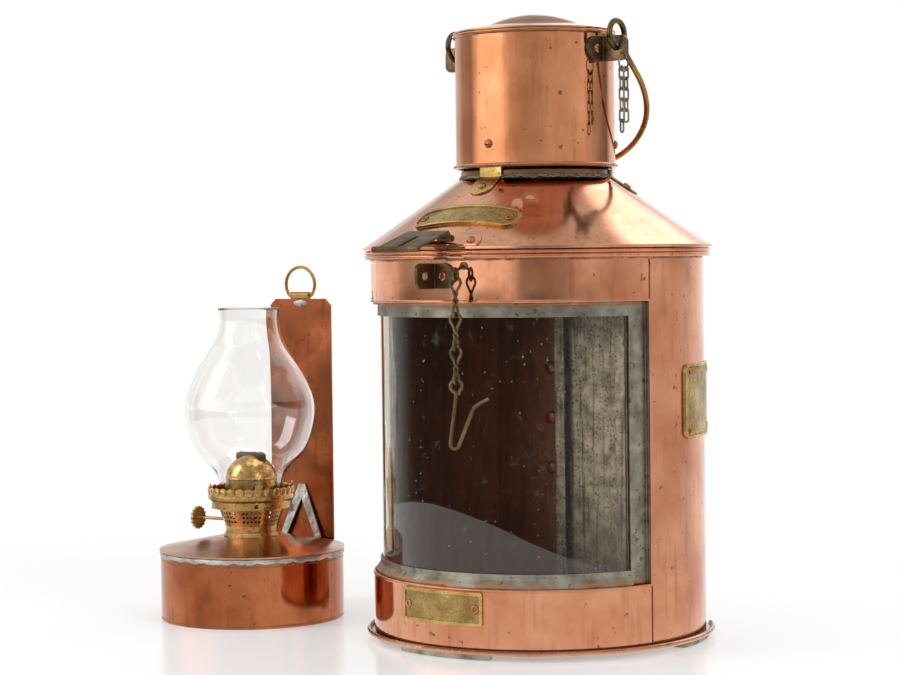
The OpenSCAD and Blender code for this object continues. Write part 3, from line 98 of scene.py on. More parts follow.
def agedMetal(name, look):
    # Worked metal dulled by handling: broad clouds, drawn rub marks, small dark spots, shallow dents, bright edges
    mat, tree, shader, coord = newMaterial(name)
    axis = addNode(tree, "ShaderNodeSeparateXYZ", (coord,)).outputs
    facing = addNode(tree, "ShaderNodeNewGeometry", out="Normal")
    cloud = addNode(tree, "ShaderNodeTexNoise", {
        "Vector": coord, "Scale": perMm(look["cloudMm"]), "Detail": 5.0, "Roughness": 0.55}, 0)
    drawn = addNode(tree, "ShaderNodeMapping", {"Vector": coord, "Scale": look["rubScale"]}, 0)
    rub = addNode(tree, "ShaderNodeTexNoise", {"Vector": drawn, "Scale": perMm(look["rubMm"]), "Detail": 3.0}, 0)
    spot = addNode(tree, "ShaderNodeTexNoise", {"Vector": coord, "Scale": perMm(look["spotMm"]), "Detail": 2.0}, 0)
    tone = addNode(tree, "ShaderNodeMapRange", (cloud, 0.32, 0.68, 0.0, 1.0), 0)
    colour = addNode(tree, "ShaderNodeMix", {
        0: tone, 6: hexLinear(look["light"]), 7: hexLinear(look["dark"])}, 2, data_type="RGBA")
    worn = addNode(tree, "ShaderNodeMapRange", (rub, 0.52, 0.75, 0.0, look["rubAmount"]), 0)
    colour = addNode(tree, "ShaderNodeMix", {0: worn, 6: colour, 7: hexLinear(look["rub"])}, 2, data_type="RGBA")
    specks = addNode(tree, "ShaderNodeMapRange", (
        spot, look["spotFrom"], look["spotFrom"] + 0.05, 0.0, look["spotAmount"]), 0)
    colour = addNode(tree, "ShaderNodeMix", {0: specks, 6: colour, 7: hexLinear(look["spot"])}, 2, data_type="RGBA")
    rough = addNode(tree, "ShaderNodeMapRange", (cloud, 0.3, 0.7, look["rough"][0], look["rough"][1]), 0)
    metal = None
    # edges softened by wear, and rubbed bright along them
    soft = addNode(tree, "ShaderNodeBevel", {"Radius": look.get("edgeMm", 0.5) * mm}, 0, samples=4)
    flatness = addNode(tree, "ShaderNodeVectorMath", (soft, facing), "Value", operation="DOT_PRODUCT")
    edge = addNode(tree, "ShaderNodeMapRange", (flatness, 0.99, 0.86, 0.0, look.get("edgeAmount", 0.55)), 0)
    colour = addNode(tree, "ShaderNodeMix", {0: edge, 6: colour, 7: hexLinear(look["edge"])}, 2, data_type="RGBA")
    if look.get("sootAndShade"):  # the inside of the lantern, darker: painted shade of the closed inside, with soot from the flame
        flat = addNode(tree, "ShaderNodeCombineXYZ", (axis[0], axis[1], 0.0), 0)
        turned = addNode(tree, "ShaderNodeVectorTransform", (facing,), 0, vector_type="NORMAL", convert_from="WORLD",
                         convert_to="OBJECT")  # stays with the piece when the roof swings
        inward = addNode(tree, "ShaderNodeVectorMath", (turned, flat), "Value", operation="DOT_PRODUCT")
        inward = addNode(tree, "ShaderNodeMapRange", (inward, -0.004, -0.002, 1.0, 0.0), 0)
        if look.get("sootAndShadeRadius"):  # a floor that the body stands around
            reach = addNode(tree, "ShaderNodeVectorMath", (flat,), "Value", operation="LENGTH")
            reach = addNode(tree, "ShaderNodeMapRange", (
                reach, look["sootAndShadeRadius"] * mm, (look["sootAndShadeRadius"] + 1) * mm, 1.0, 0.0), 0)
            inward = addNode(tree, "ShaderNodeMath", (inward, reach), 0, operation="MAXIMUM")
        # painted shade with soot: the inward faces take the darker colour, varied by the rub noise
        sootAndShadeShare = addNode(tree, "ShaderNodeMapRange", (rub, 0.3, 0.75, 1.0, 0.74), 0)
        sootAndShadeShare = addNode(tree, "ShaderNodeMath", (inward, sootAndShadeShare), 0, operation="MULTIPLY")
        colour = addNode(tree, "ShaderNodeMix", {0: sootAndShadeShare, 6: colour, 7: hexLinear(look["sootAndShade"])}, 2, data_type="RGBA")
        dull = addNode(tree, "ShaderNodeMath", (inward, 0.38), 0, operation="MULTIPLY")
        rough = addNode(tree, "ShaderNodeMath", (rough, dull), 0, operation="MAXIMUM")
        metal = addNode(tree, "ShaderNodeMapRange", (inward, 0.0, 1.0, 1.0, 0.55), 0)
    if look.get("ledge"):  # upward faces left grey by the tinning
        upward = addNode(tree, "ShaderNodeSeparateXYZ", (facing,), 2)
        upward = addNode(tree, "ShaderNodeMapRange", (upward, 0.55, 0.85, 0.0, 0.9), 0)
        patch = addNode(tree, "ShaderNodeMapRange", (cloud, 0.3, 0.6, 1.0, 0.55), 0)
        upward = addNode(tree, "ShaderNodeMath", (upward, patch), 0, operation="MULTIPLY")
        colour = addNode(tree, "ShaderNodeMix", {0: upward, 6: colour, 7: hexLinear(look["ledge"])}, 2,
                         data_type="RGBA")
    if look.get("seams"):  # grey-green carbonate along the soldered joints, at these heights in mm
        reach = nearHeights(tree, axis[2], look["seams"], 0.0, look["seamMm"])
        patchy = addNode(tree, "ShaderNodeTexNoise", {
            "Vector": coord, "Scale": perMm(stains["patchMm"]), "Detail": 6.0, "Roughness": 0.7}, 0)
        patchy = addNode(tree, "ShaderNodeMapRange", (patchy, 0.3, 0.64, 0.25, 1.0), 0)
        green = addNode(tree, "ShaderNodeMath", (reach, patchy), 0, operation="MULTIPLY")
        green = addNode(tree, "ShaderNodeMapRange", (green, 0.2, 0.9, 0.0, 0.7), 0)
        colour = addNode(tree, "ShaderNodeMix", {0: green, 6: colour, 7: hexLinear(stains["carbonate"])}, 2,
                         data_type="RGBA")
        rough = addNode(tree, "ShaderNodeMath", (rough, green), 0, operation="MAXIMUM")
        shine = addNode(tree, "ShaderNodeMapRange", (green, 0.0, 1.0, 1.0, 0.35), 0)
        metal = shine if metal is None else addNode(tree, "ShaderNodeMath", (metal, shine), 0, operation="MINIMUM")
    if look.get("line"):  # the tinning worn through to copper along these heights
        reach = nearHeights(tree, axis[2], look["line"], *stains["bareMm"])
        bare = addNode(tree, "ShaderNodeMapRange", (cloud, 0.36, 0.52, 0.0, 0.95), 0)
        bare = addNode(tree, "ShaderNodeMath", (reach, bare), 0, operation="MULTIPLY")
        colour = addNode(tree, "ShaderNodeMix", {0: bare, 6: colour, 7: hexLinear(stains["bareCopper"])}, 2,
                         data_type="RGBA")
    if look.get("green"):  # carbonate in patches
        bloom = addNode(tree, "ShaderNodeTexNoise", {
            "Vector": coord, "Scale": perMm(stains["bloomMm"]), "Detail": 5.0, "Roughness": 0.65}, 0)
        bloom = addNode(tree, "ShaderNodeMapRange", (bloom, 0.58, 0.7, 0.0, look["green"]), 0)
        colour = addNode(tree, "ShaderNodeMix", {0: bloom, 6: colour, 7: hexLinear(stains["bloom"])}, 2,
                         data_type="RGBA")
        rough = addNode(tree, "ShaderNodeMath", (rough, bloom), 0, operation="MAXIMUM")
    if look.get("above"):  # darker over the part above a height: from, to, colour
        high = addNode(tree, "ShaderNodeMapRange", (axis[2], look["above"][0] * mm, look["above"][1] * mm, 0.0, 0.9), 0)
        colour = addNode(tree, "ShaderNodeMix", {0: high, 6: colour, 7: hexLinear(look["above"][2])}, 2,
                         data_type="RGBA")
    dent = addNode(tree, "ShaderNodeTexNoise", {"Vector": coord, "Scale": perMm(look["dentMm"]), "Detail": 1.0}, 0)
    bump = addNode(tree, "ShaderNodeBump", {
        "Height": dent, "Strength": look["dentAmount"], "Distance": 1.2 * mm, "Normal": soft}, 0)
    for knock in look.get("knocks", ()):  # single knocks: centre, turn and half sizes in mm
        place = addNode(tree, "ShaderNodeMapping", {
            "Vector": coord, "Location": [c * mm for c in knock["at"]], "Rotation": knock["turn"],
            "Scale": [s * mm for s in knock["half"]]}, 0, vector_type="TEXTURE")
        deep = addNode(tree, "ShaderNodeVectorMath", (place,), "Value", operation="LENGTH")
        deep = addNode(tree, "ShaderNodeMapRange", (deep, 0.0, 1.0, 0.0, 1.0), 0, interpolation_type="SMOOTHERSTEP")
        bump = addNode(tree, "ShaderNodeBump", {
            "Height": deep, "Strength": 1.0, "Distance": knock["deep"] * mm, "Normal": bump}, 0)
    bump = addNode(tree, "ShaderNodeBump", {
        "Height": rub, "Strength": 0.06, "Distance": 0.1 * mm, "Normal": bump}, 0)
    tree.links.new(colour, shader.inputs["Base Color"])
    tree.links.new(rough, shader.inputs["Roughness"])
    tree.links.new(bump, shader.inputs["Normal"])
    if metal is None:
        shader.inputs["Metallic"].default_value = look.get("metal", 1.0)
    else:
        tree.links.new(metal, shader.inputs["Metallic"])
    return mat


copperLook = {  # rolled sheet copper, once polished: warm, with soft reflections
    "light": "#e0a27f", "dark": "#c07a57", "rub": "#96563b", "spot": "#4e2c1e", "edge": "#eebb9e",
    "cloudMm": 55, "rubMm": 5, "rubScale": (1.0, 1.0, 0.14), "rubAmount": 0.35,
    "spotMm": 5.5, "spotFrom": 0.69, "spotAmount": 0.7, "rough": (0.07, 0.2),
    "dentMm": 38, "dentAmount": 0.2,
}
brassLook = {  # cast and stamped brass, gone brown
    "light": "#d9b874", "dark": "#a5803f", "rub": "#6f5229", "spot": "#46331d", "edge": "#f0d9a0",
    "cloudMm": 16, "rubMm": 2.5, "rubScale": (1.0, 1.0, 1.0), "rubAmount": 0.5,
    "spotMm": 3, "spotFrom": 0.66, "spotAmount": 0.6, "rough": (0.18, 0.34),
    "dentMm": 12, "dentAmount": 0.08,
}
bronzeLook = dict(  # castings and wire, darkened, with green in patches
    brassLook, light="#8d7553", dark="#574631", rub="#392d20", spot="#261d15", edge="#b59b72",
    rough=(0.3, 0.5), green=0.5)
tinLook = {  # hot-dipped tin on copper, grey, dull and scuffed
    "light": "#aaa594", "dark": "#716d60", "rub": "#8d7560", "spot": "#3b362f", "edge": "#c4bfae",
    "cloudMm": 14, "rubMm": 2.2, "rubScale": (1.0, 1.0, 0.3), "rubAmount": 0.4,
    "spotMm": 4, "spotFrom": 0.63, "spotAmount": 0.65, "rough": (0.34, 0.55),
    "dentMm": 20, "dentAmount": 0.1,
}
coneKnocks = (  # the long knock low on the right of the cone, a sharp crease in a wider hollow
    {"at": (40.7, -82.5, 320.5), "turn": (0.0, 0.0, 0.62), "half": (7, 15, 16), "deep": 2.2},
    {"at": (46, -74, 323), "turn": (0.0, 0.0, 0.62), "half": (12, 18, 18), "deep": 1.4},
)
finishes = {
    # sheet rolled to the D, its seams greened, its inside darkened with painted shade and soot
    "copperBody": agedMetal("rolled_copper_body", dict(
        copperLook, seams=(6, 281.5), seamMm=2.0, sootAndShade="#7d4a2e")),
    # sheet bent round the front, rubbed brighter than the body, its inside darkened with painted shade and soot
    "copperBand": agedMetal("rolled_copper_band", dict(
        copperLook, seams=(51, 249.5, 281.5), seamMm=1.6, sootAndShade="#7d4a2e", rough=(0.05, 0.15))),
    # sheet under the drum, dark and greened
    "copperNeck": agedMetal("rolled_copper_neck", dict(
        copperLook, light="#9a6a50", dark="#634030", rub="#3c2a20", rough=(0.25, 0.4), green=0.9)),
    # spun sheet, with tin left on the ledge, and the floor inside darkened with painted shade and soot
    "copperBase": agedMetal("rolled_copper_base", dict(
        copperLook, seams=(6.5,), seamMm=1.5, sootAndShade="#7d4a2e", sootAndShadeRadius=121, ledge="#77736a")),
    # sheet coned and seamed, with the knock it has taken, its inside darkened with painted shade and soot
    "copperRoof": agedMetal("rolled_copper_roof", dict(
        copperLook, light="#e3ab8b", dark="#c98a69", rough=(0.06, 0.16), seams=(342,), seamMm=1.5,
        sootAndShade="#7d4a2e", knocks=coneKnocks)),
    # sheet rolled to a tube and polished bright, its inside darkened with painted shade and soot
    "copperDrum": agedMetal("rolled_copper_drum", dict(
        copperLook, light="#d3926a", dark="#b06c46", rub="#8a5034", rough=(0.05, 0.12), dentAmount=0.12,
        seams=(350, 446), seamMm=1.5, sootAndShade="#7d4a2e")),
    # redder, darker sheet
    "copperLamp": agedMetal("rolled_copper_lamp", dict(
        copperLook, light="#ba7049", dark="#8a4727", rub="#643020", rough=(0.09, 0.2), seams=(2, 48), seamMm=1.6)),
    # the fount's top, paler and duller
    "copperTop": agedMetal("rolled_copper_lamp_top", dict(
        copperLook, light="#d0a083", dark="#a4755a", rub="#79503b", rough=(0.16, 0.32))),
    # sheet behind the glass, darker: painted shade of the lantern's inside, with tarnish
    "copperDark": agedMetal("rolled_copper_tarnish_and_shade", dict(
        copperLook, light="#c07249", dark="#8c4a2f", rub="#5b301f", rubAmount=0.45, cloudMm=34, rough=(0.16, 0.34))),
    # drawn wire, headed by hand
    "copperRivet": agedMetal("drawn_copper_rivet", dict(copperLook, light="#cb8b68", dark="#96583a", dentMm=4)),
    # burrs hammered over the rivets, darker and duller: painted shade of the lantern's inside, with soot
    "copperRove": agedMetal("clenched_copper_rove", dict(
        copperLook, light="#a8643f", dark="#75402a", rub="#4a2a1c", cloudMm=8, rough=(0.3, 0.45), green=0.5)),
    # sand-cast, with the raised parts rubbed
    "brassPlate": agedMetal("cast_brass_plate", brassLook),
    # sand-cast, the low ground left stippled and brown
    "brassField": agedMetal("cast_brass_stippled", dict(
        brassLook, light="#b99b62", dark="#7f6539", rough=(0.26, 0.4), dentMm=2.2, dentAmount=0.3, green=0.35)),
    # sheet stamped and spun, browned by heat
    "brassBurner": agedMetal("stamped_brass_burner", dict(
        brassLook, light="#d9b071", dark="#9d7744", rub="#634829", rubAmount=0.6, cloudMm=22)),
    # drawn rod, bright where it is held
    "brassRod": agedMetal("drawn_brass_rod", dict(brassLook, light="#cfa55c", dark="#946b33", cloudMm=30)),
    # drawn rod, darker over its arch
    "brassBail": agedMetal("drawn_brass_bail", dict(
        brassLook, light="#cfa55c", dark="#946b33", cloudMm=30, above=(412, 432, "#5d5240"))),
    # cast and filed, or drawn to wire, and left to stain
    "bronzeOld": agedMetal("cast_bronze_stained", bronzeLook),
    # drawn wire, browned
    "wireBrown": agedMetal("drawn_wire_browned", dict(bronzeLook, light="#b0a690", dark="#786b57", green=0.1)),
    # hot-dipped sheet, worn to copper at the folds
    "tinSheet": agedMetal("tinned_sheet", dict(tinLook, line=(52.5, 249.2))),
    # hot-dipped sheet, streaked and spotted by soot
    "tinGuide": agedMetal("tinned_sheet_spotted", dict(
        tinLook, light="#d2c9b8", dark="#877d6d", rub="#3b342b", spot="#2a241d", rubAmount=0.9, rubMm=3.2,
        rubScale=(1.0, 1.0, 0.05), spotMm=1.8, spotFrom=0.6, spotAmount=0.75, cloudMm=9, rough=(0.3, 0.5))),
    # rolled strip, bent by hand and dented
    "leadStrip": agedMetal("rolled_lead", dict(
        tinLook, light="#d3d3cd", dark="#94948d", rub="#6d6860", spot="#4b3a2d", edge="#e2e2dc", dentMm=5,
        dentAmount=0.5)),
    # soft putty, set hard and greened
    "neckPutty": agedMetal("red_lead_putty_greened", dict(
        tinLook, light="#8a8c7b", dark="#625c4c", rub="#4a4136", spot="#3a342b", edge="#969a88", rough=(0.6, 0.85),
        dentMm=4, dentAmount=0.7, green=0.6, metal=0.0)),
    # solder wiped while soft
    "tinSolder": agedMetal("wiped_tin_solder", dict(
        tinLook, light="#dcdad3", dark="#a3a099", rub="#7d6a59", dentMm=5, dentAmount=0.6)),
}


def clearGlass(name, look):
    # Old clear glass: nearly colourless, a little wavy, with faint dust, and specks that have dried on it
    mat, tree, shader, coord = newMaterial(name)
    wave = addNode(tree, "ShaderNodeTexNoise", {"Vector": coord, "Scale": perMm(look["waveMm"]), "Detail": 1.0}, 0)
    dust = addNode(tree, "ShaderNodeTexNoise", {
        "Vector": coord, "Scale": perMm(look["dustMm"]), "Detail": 6.0, "Roughness": 0.7}, 0)
    rough = addNode(tree, "ShaderNodeMapRange", (dust, 0.5, 0.75, look["rough"][0], look["rough"][1]), 0)
    bump = addNode(tree, "ShaderNodeBump", {
        "Height": wave, "Strength": look["waveAmount"], "Distance": 0.2 * mm}, 0)
    if look.get("speck"):
        fine = addNode(tree, "ShaderNodeTexNoise", {"Vector": coord, "Scale": perMm(2.4), "Detail": 2.0}, 0)
        fine = addNode(tree, "ShaderNodeMapRange", (fine, 0.7, 0.76, 0.0, look["speck"]), 0)
        smear = addNode(tree, "ShaderNodeMapRange", (dust, 0.6, 0.78, 0.0, look["speck"] * 0.3), 0)
        clear = addNode(tree, "ShaderNodeMath", (fine, smear), 0, operation="MAXIMUM")
        clear = addNode(tree, "ShaderNodeMath", (1.0, clear), 0, operation="SUBTRACT")
        tree.links.new(clear, shader.inputs["Transmission Weight"])
    else:
        shader.inputs["Transmission Weight"].default_value = 1.0
    shader.inputs["Base Color"].default_value = hexLinear(look["tint"])
    shader.inputs["IOR"].default_value = look["ior"]
    tree.links.new(rough, shader.inputs["Roughness"])
    tree.links.new(bump, shader.inputs["Normal"])
    return mat


finishes["windowGlass"] = clearGlass("drawn_window_glass", {
    "tint": "#efeae0", "waveMm": 60, "waveAmount": 0.15, "dustMm": 10, "rough": (0.0, 0.03), "speck": 0.3,
    "ior": 1.45})
finishes["chimneyGlass"] = clearGlass("blown_lamp_glass", {
    "tint": "#fcfcfc", "waveMm": 30, "waveAmount": 0.04, "dustMm": 8, "rough": (0.0, 0.02), "ior": 1.5})


cottonLook = {"clean": ("#b9ac93", "#8b7d66"), "burnt": ("#2a1b12", "#7d5c40"), "charMm": (122, 130), "raggedMm": 3,
              "raggedBy": 8, "weaveMm": 1.2, "weaveDeep": 0.4, "rough": 0.92}


def wickCotton(name):
    # Woven cotton wick, charred at its top edge
    mat, tree, shader, coord = newMaterial(name)
    height = addNode(tree, "ShaderNodeSeparateXYZ", (coord,), 2)
    ragged = addNode(tree, "ShaderNodeTexNoise", {
        "Vector": coord, "Scale": perMm(cottonLook["raggedMm"]), "Detail": 3.0}, 0)
    char = addNode(tree, "ShaderNodeMath", (ragged, cottonLook["raggedBy"] * mm, height), 0, operation="MULTIPLY_ADD")
    char = addNode(tree, "ShaderNodeMapRange", (char, *[z * mm for z in cottonLook["charMm"]], 0.0, 1.0), 0)
    weave = addNode(tree, "ShaderNodeTexNoise", {
        "Vector": coord, "Scale": perMm(cottonLook["weaveMm"]), "Detail": 2.0}, 0)
    cloth, burnt = [addNode(tree, "ShaderNodeMix", {
        0: weave, 6: hexLinear(cottonLook[state][0]), 7: hexLinear(cottonLook[state][1])}, 2, data_type="RGBA")
        for state in ("clean", "burnt")]
    colour = addNode(tree, "ShaderNodeMix", {0: char, 6: cloth, 7: burnt}, 2, data_type="RGBA")
    bump = addNode(tree, "ShaderNodeBump", {
        "Height": weave, "Strength": 0.8, "Distance": cottonLook["weaveDeep"] * mm}, 0)
    tree.links.new(colour, shader.inputs["Base Color"])
    tree.links.new(bump, shader.inputs["Normal"])
    shader.inputs["Roughness"].default_value = cottonLook["rough"]
    return mat


finishes["cotton"] = wickCotton("woven_cotton_wick")
print("materials made,", len(finishes))

finishOf = {
    "copperBody": ["body_shell", "back_bracket"],
    "copperBand": ["lower_front_band", "upper_front_band", "top_rim"],
    "copperNeck": ["flue_neck"],
    "copperBase": ["base_plate"],
    "copperDrum": ["chimney_drum", "chimney_cap"],
    "copperRoof": ["roof_cone", "hasp_strap"],
    "copperLamp": ["fount_body"],
    "copperTop": ["fount_top"],
    "copperDark": ["lamp_back_plate"],
    "copperRivet": ["bracket_rivets", "plate_rivets", "roof_rivets"],
    "brassPlate": ["number_plate", "maker_plate", "title_plate", "chimney_bracket_front", "chimney_bracket_left",
                   "chimney_bracket_right"],
    "brassBurner": ["burner_collar", "burner_basket", "burner_gallery", "gallery_crown", "burner_dome", "wick_tube",
                    "wick_spindle", "thumbwheel"],
    "brassRod": ["lift_ring", "ring_bar"],
    "brassBail": ["bail"],
    "bronzeOld": ["staple_lug", "chain_eye", "keeper_link_1", "keeper_link_2", "keeper_link_3", "keeper_hook",
                  "ear_left", "ear_right", "hasp_pin", "hasp", "hinge_pin", "hinge_leaf_body", "hinge_leaf_roof"],
    "wireBrown": ["ear_chain"],
    "tinSheet": ["foot_strips", "window_head", "window_sill", "window_jamb_left", "window_jamb_right"],
    "tinGuide": ["lamp_guide"],
    "leadStrip": ["lamp_stay"],
    "tinSolder": ["solder_seam"],
    "windowGlass": ["window_glass"],
    "chimneyGlass": ["lamp_glass"],
    "cotton": ["wick"],
}
for finish, names in finishOf.items():
    for name in names:
        mesh = nodes[name].data
        mesh.materials.clear()
        mesh.materials.append(finishes[finish])
print("finishes set")


def makeTree(name, sockets):
    tree = bpy.data.node_groups.new(name, "GeometryNodeTree")
    tree.interface.new_socket("Geometry", in_out="INPUT", socket_type="NodeSocketGeometry")
    for label, kind in sockets.items():
        tree.interface.new_socket(label, in_out="INPUT", socket_type="NodeSocket" + kind)
    tree.interface.new_socket("Geometry", in_out="OUTPUT", socket_type="NodeSocketGeometry")
    return tree, addNode(tree, "NodeGroupInput").outputs


def outwardTurn(tree):  # turns a piece's own Z along the way that its point faces
    outward = addNode(tree, "GeometryNodeInputNamedAttribute", {"Name": "outward"}, 0, data_type="FLOAT_VECTOR")
    return addNode(tree, "FunctionNodeAlignRotationToVector", {"Vector": outward}, 0, axis="Z")


def closeTree(tree, given, setting):  # sets the instance on every point, and makes one mesh in its material
    spread = addNode(tree, "GeometryNodeInstanceOnPoints", {"Points": given["Geometry"], **setting}, 0)
    solid = addNode(tree, "GeometryNodeRealizeInstances", (spread,), 0)
    coated = addNode(tree, "GeometryNodeSetMaterial", {"Geometry": solid, "Material": given["Material"]}, 0)
    addNode(tree, "NodeGroupOutput", (coated,))


def linkObject(name, mesh):
    obj = bpy.data.objects.new(name, mesh)
    bpy.context.scene.collection.objects.link(obj)
    return obj


def growPiece(name, base, tree, values):  # runs a tree on a base mesh and keeps the result as a plain mesh
    obj = linkObject(name, base)
    grow = obj.modifiers.new("grow", "NODES")
    grow.node_group = tree
    for item in tree.interface.items_tree:
        if item.in_out == "INPUT" and item.name in values:
            grow[item.identifier] = values[item.name]
    seen = obj.evaluated_get(bpy.context.evaluated_depsgraph_get())
    mesh = bpy.data.meshes.new_from_object(seen)
    obj.modifiers.remove(grow)
    obj.data = mesh
    mesh.name = name
    return obj


def settle(obj, body, slotName, *covered):
    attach(obj, body)
    if covered:
        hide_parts(*covered)
    return obj


def smoothMesh(name, verts, faces, material, sharp=None):
    mesh = bpy.data.meshes.new(name)
    mesh.from_pydata(verts, [], faces)
    work = bmesh.new()
    work.from_mesh(mesh)
    bmesh.ops.remove_doubles(work, verts=work.verts, dist=1e-7)
    bmesh.ops.recalc_face_normals(work, faces=work.faces)
    work.to_mesh(mesh)
    work.free()
    mesh.materials.append(material)
    mesh.shade_smooth()
    if sharp:
        mesh.set_sharp_from_angle(angle=math.radians(sharp))
    return mesh


def sheetFaces(rows, cols):  # faces of two layers of points, one after the other, and of the rim between them
    size, faces = rows * cols, []
    for i in range(rows - 1):
        for k in range(cols - 1):
            a = i * cols + k
            faces.append((a, a + 1, a + cols + 1, a + cols))
            faces.append((size + a, size + a + cols, size + a + cols + 1, size + a + 1))
    rim = ([k for k in range(cols)] + [i * cols + cols - 1 for i in range(1, rows)]
           + [(rows - 1) * cols + k for k in range(cols - 2, -1, -1)] + [i * cols for i in range(rows - 2, 0, -1)])
    for a, b in zip(rim, rim[1:] + rim[:1]):
        faces.append((a, size + a, size + b, b))
    return faces


def pointMesh(name, spots, outward, along=None):  # loose points, each with the way it faces and lies
    mesh = bpy.data.meshes.new(name)
    mesh.from_pydata(spots, [], [])
    for label, rows in (("outward", outward), ("along", along or outward)):
        given = mesh.attributes.new(label, "FLOAT_VECTOR", "POINT")
        for i, row in enumerate(rows):
            given.data[i].vector = row
    return mesh


def wallPoint(azimuth, radius, height):  # azimuth in degrees from the front, sizes in mm
    a = math.radians(azimuth)
    return Vector((radius * math.sin(a), -radius * math.cos(a), height)) * mm


lampSpot = {"x": -241, "y": -55, "turn": 7}


def lampPoint(x, y, z):  # a point of the oil lamp about its own axis
    t = math.radians(lampSpot["turn"])
    return Vector((lampSpot["x"] + x * math.cos(t) - y * math.sin(t),
                   lampSpot["y"] + x * math.sin(t) + y * math.cos(t), z)) * mm


def lumpsOf(node):  # the points of each separate solid of one node
    work = bmesh.new()
    work.from_mesh(nodes[node].data)
    bmesh.ops.remove_doubles(work, verts=work.verts, dist=1e-6)
    left, out = set(work.verts), []
    for seed in work.verts:
        if seed not in left:
            continue
        left.remove(seed)
        stack, group = [seed], []
        while stack:
            v = stack.pop()
            group.append(v.co[:])
            for e in v.link_edges:
                o = e.other_vert(v)
                if o in left:
                    left.remove(o)
                    stack.append(o)
        out.append(np.array(group))
    work.free()
    return out


def smoothPath(points, steps, closed=False):  # a curve through the points
    pts = [Vector(p) for p in points]
    n = len(pts)
    out = []
    for i in range(n if closed else n - 1):
        p0 = pts[i - 1] if (i or closed) else pts[0]
        p1, p2 = pts[i], pts[(i + 1) % n]
        p3 = pts[(i + 2) % n] if (closed or i + 2 < n) else pts[-1]
        for k in range(steps):
            t = k / steps
            out.append(0.5 * (2 * p1 + (p2 - p0) * t + (2 * p0 - 5 * p1 + 4 * p2 - p3) * t * t
                              + (3 * p1 - p0 - 3 * p2 + p3) * t ** 3))
    return out if closed else out + [pts[-1]]


def wireMesh(name, path, radius, sides, material, closed=False):  # a round wire along a path in metres
    count = len(path)
    verts, faces = [], []
    turn = None
    for i, p in enumerate(path):
        before = path[i - 1] if (i or closed) else p
        after = path[(i + 1) % count] if (i + 1 < count or closed) else p
        ahead = (after - before).normalized()
        turn = ahead.orthogonal() if turn is None else turn - ahead * turn.dot(ahead)
        turn.normalize()
        across = ahead.cross(turn)
        for k in range(sides):
            a = 2 * math.pi * k / sides
            verts.append(p + (turn * math.cos(a) + across * math.sin(a)) * radius)
    shift = 0
    if closed:  # line the last ring up with the first one
        gaps = [(verts[(count - 1) * sides + k] - verts[0]).length for k in range(sides)]
        shift = gaps.index(min(gaps))
    for i in range(count if closed else count - 1):
        j = (i + 1) % count
        s = shift if i + 1 == count else 0
        for k in range(sides):
            a, b = i * sides + (k + s) % sides, i * sides + (k + 1 + s) % sides
            faces.append((a, b, j * sides + (k + 1) % sides, j * sides + k))
    if not closed:
        for i in (0, count - 1):
            verts.append(path[i])
            for k in range(sides):
                faces.append((i * sides + k, i * sides + (k + 1) % sides, len(verts) - 1))
    return smoothMesh(name, verts, faces, material, sharp=50)


# Rivets: domes on the sheet work, open eyelets on the plates and the staple lug
rivetSizes = {"ringMm": 2.3, "lipMm": 1.0, "sinkMm": 0.2, "domeMm": 3.3, "riseShare": 0.55, "roveMm": 5.4,
              "roveShare": 0.3, "lipShare": 0.9, "detail": (24, 14)}


def rivetTree(name, detail=None):  # domes with these segments and rings, or eyelets
    tree, given = makeTree(name, {"Ring": "Float", "Lip": "Float", "Rise": "Float", "Material": "Material"})
    turn = outwardTurn(tree)
    if detail is None:
        loop = addNode(tree, "GeometryNodeCurvePrimitiveCircle", {"Resolution": 24, "Radius": given["Ring"]}, 0)
        lip = addNode(tree, "GeometryNodeCurvePrimitiveCircle", {"Resolution": 10, "Radius": given["Lip"]}, 0)
        head = addNode(tree, "GeometryNodeCurveToMesh", {"Curve": loop, "Profile Curve": lip}, 0)
    else:
        head = addNode(tree, "GeometryNodeMeshUVSphere", {
            "Segments": detail[0], "Rings": detail[1], "Radius": given["Ring"]}, 0)
    size = addNode(tree, "ShaderNodeCombineXYZ", (1.0, 1.0, given["Rise"]), 0)
    head = addNode(tree, "GeometryNodeTransform", {"Geometry": head, "Scale": size}, 0)
    head = addNode(tree, "GeometryNodeSetShadeSmooth", (head,), 0)
    closeTree(tree, given, {"Instance": head, "Rotation": turn})
    return tree


def rivetPoints(name, lumps):
    spots, facing = [], []
    for pts in lumps:
        axes = np.linalg.svd(pts - pts.mean(0))[2]
        axis = Vector(axes[2])
        base = pts @ np.array(axis)
        far = np.linalg.norm(pts - pts.mean(0) - np.outer(base - base.mean(), np.array(axis)), axis=1)
        if base[far > far.max() * 0.9].mean() > (base.max() + base.min()) / 2:  # the wide end is the seat
            axis = -axis
        low = min(axis.dot(Vector(p)) for p in pts)
        wide = Vector(pts[far > far.max() * 0.9].mean(0))
        spots.append(wide + axis * (low - axis.dot(wide) + rivetSizes["sinkMm"] * mm))
        facing.append(axis)
    return pointMesh(name, spots, facing)


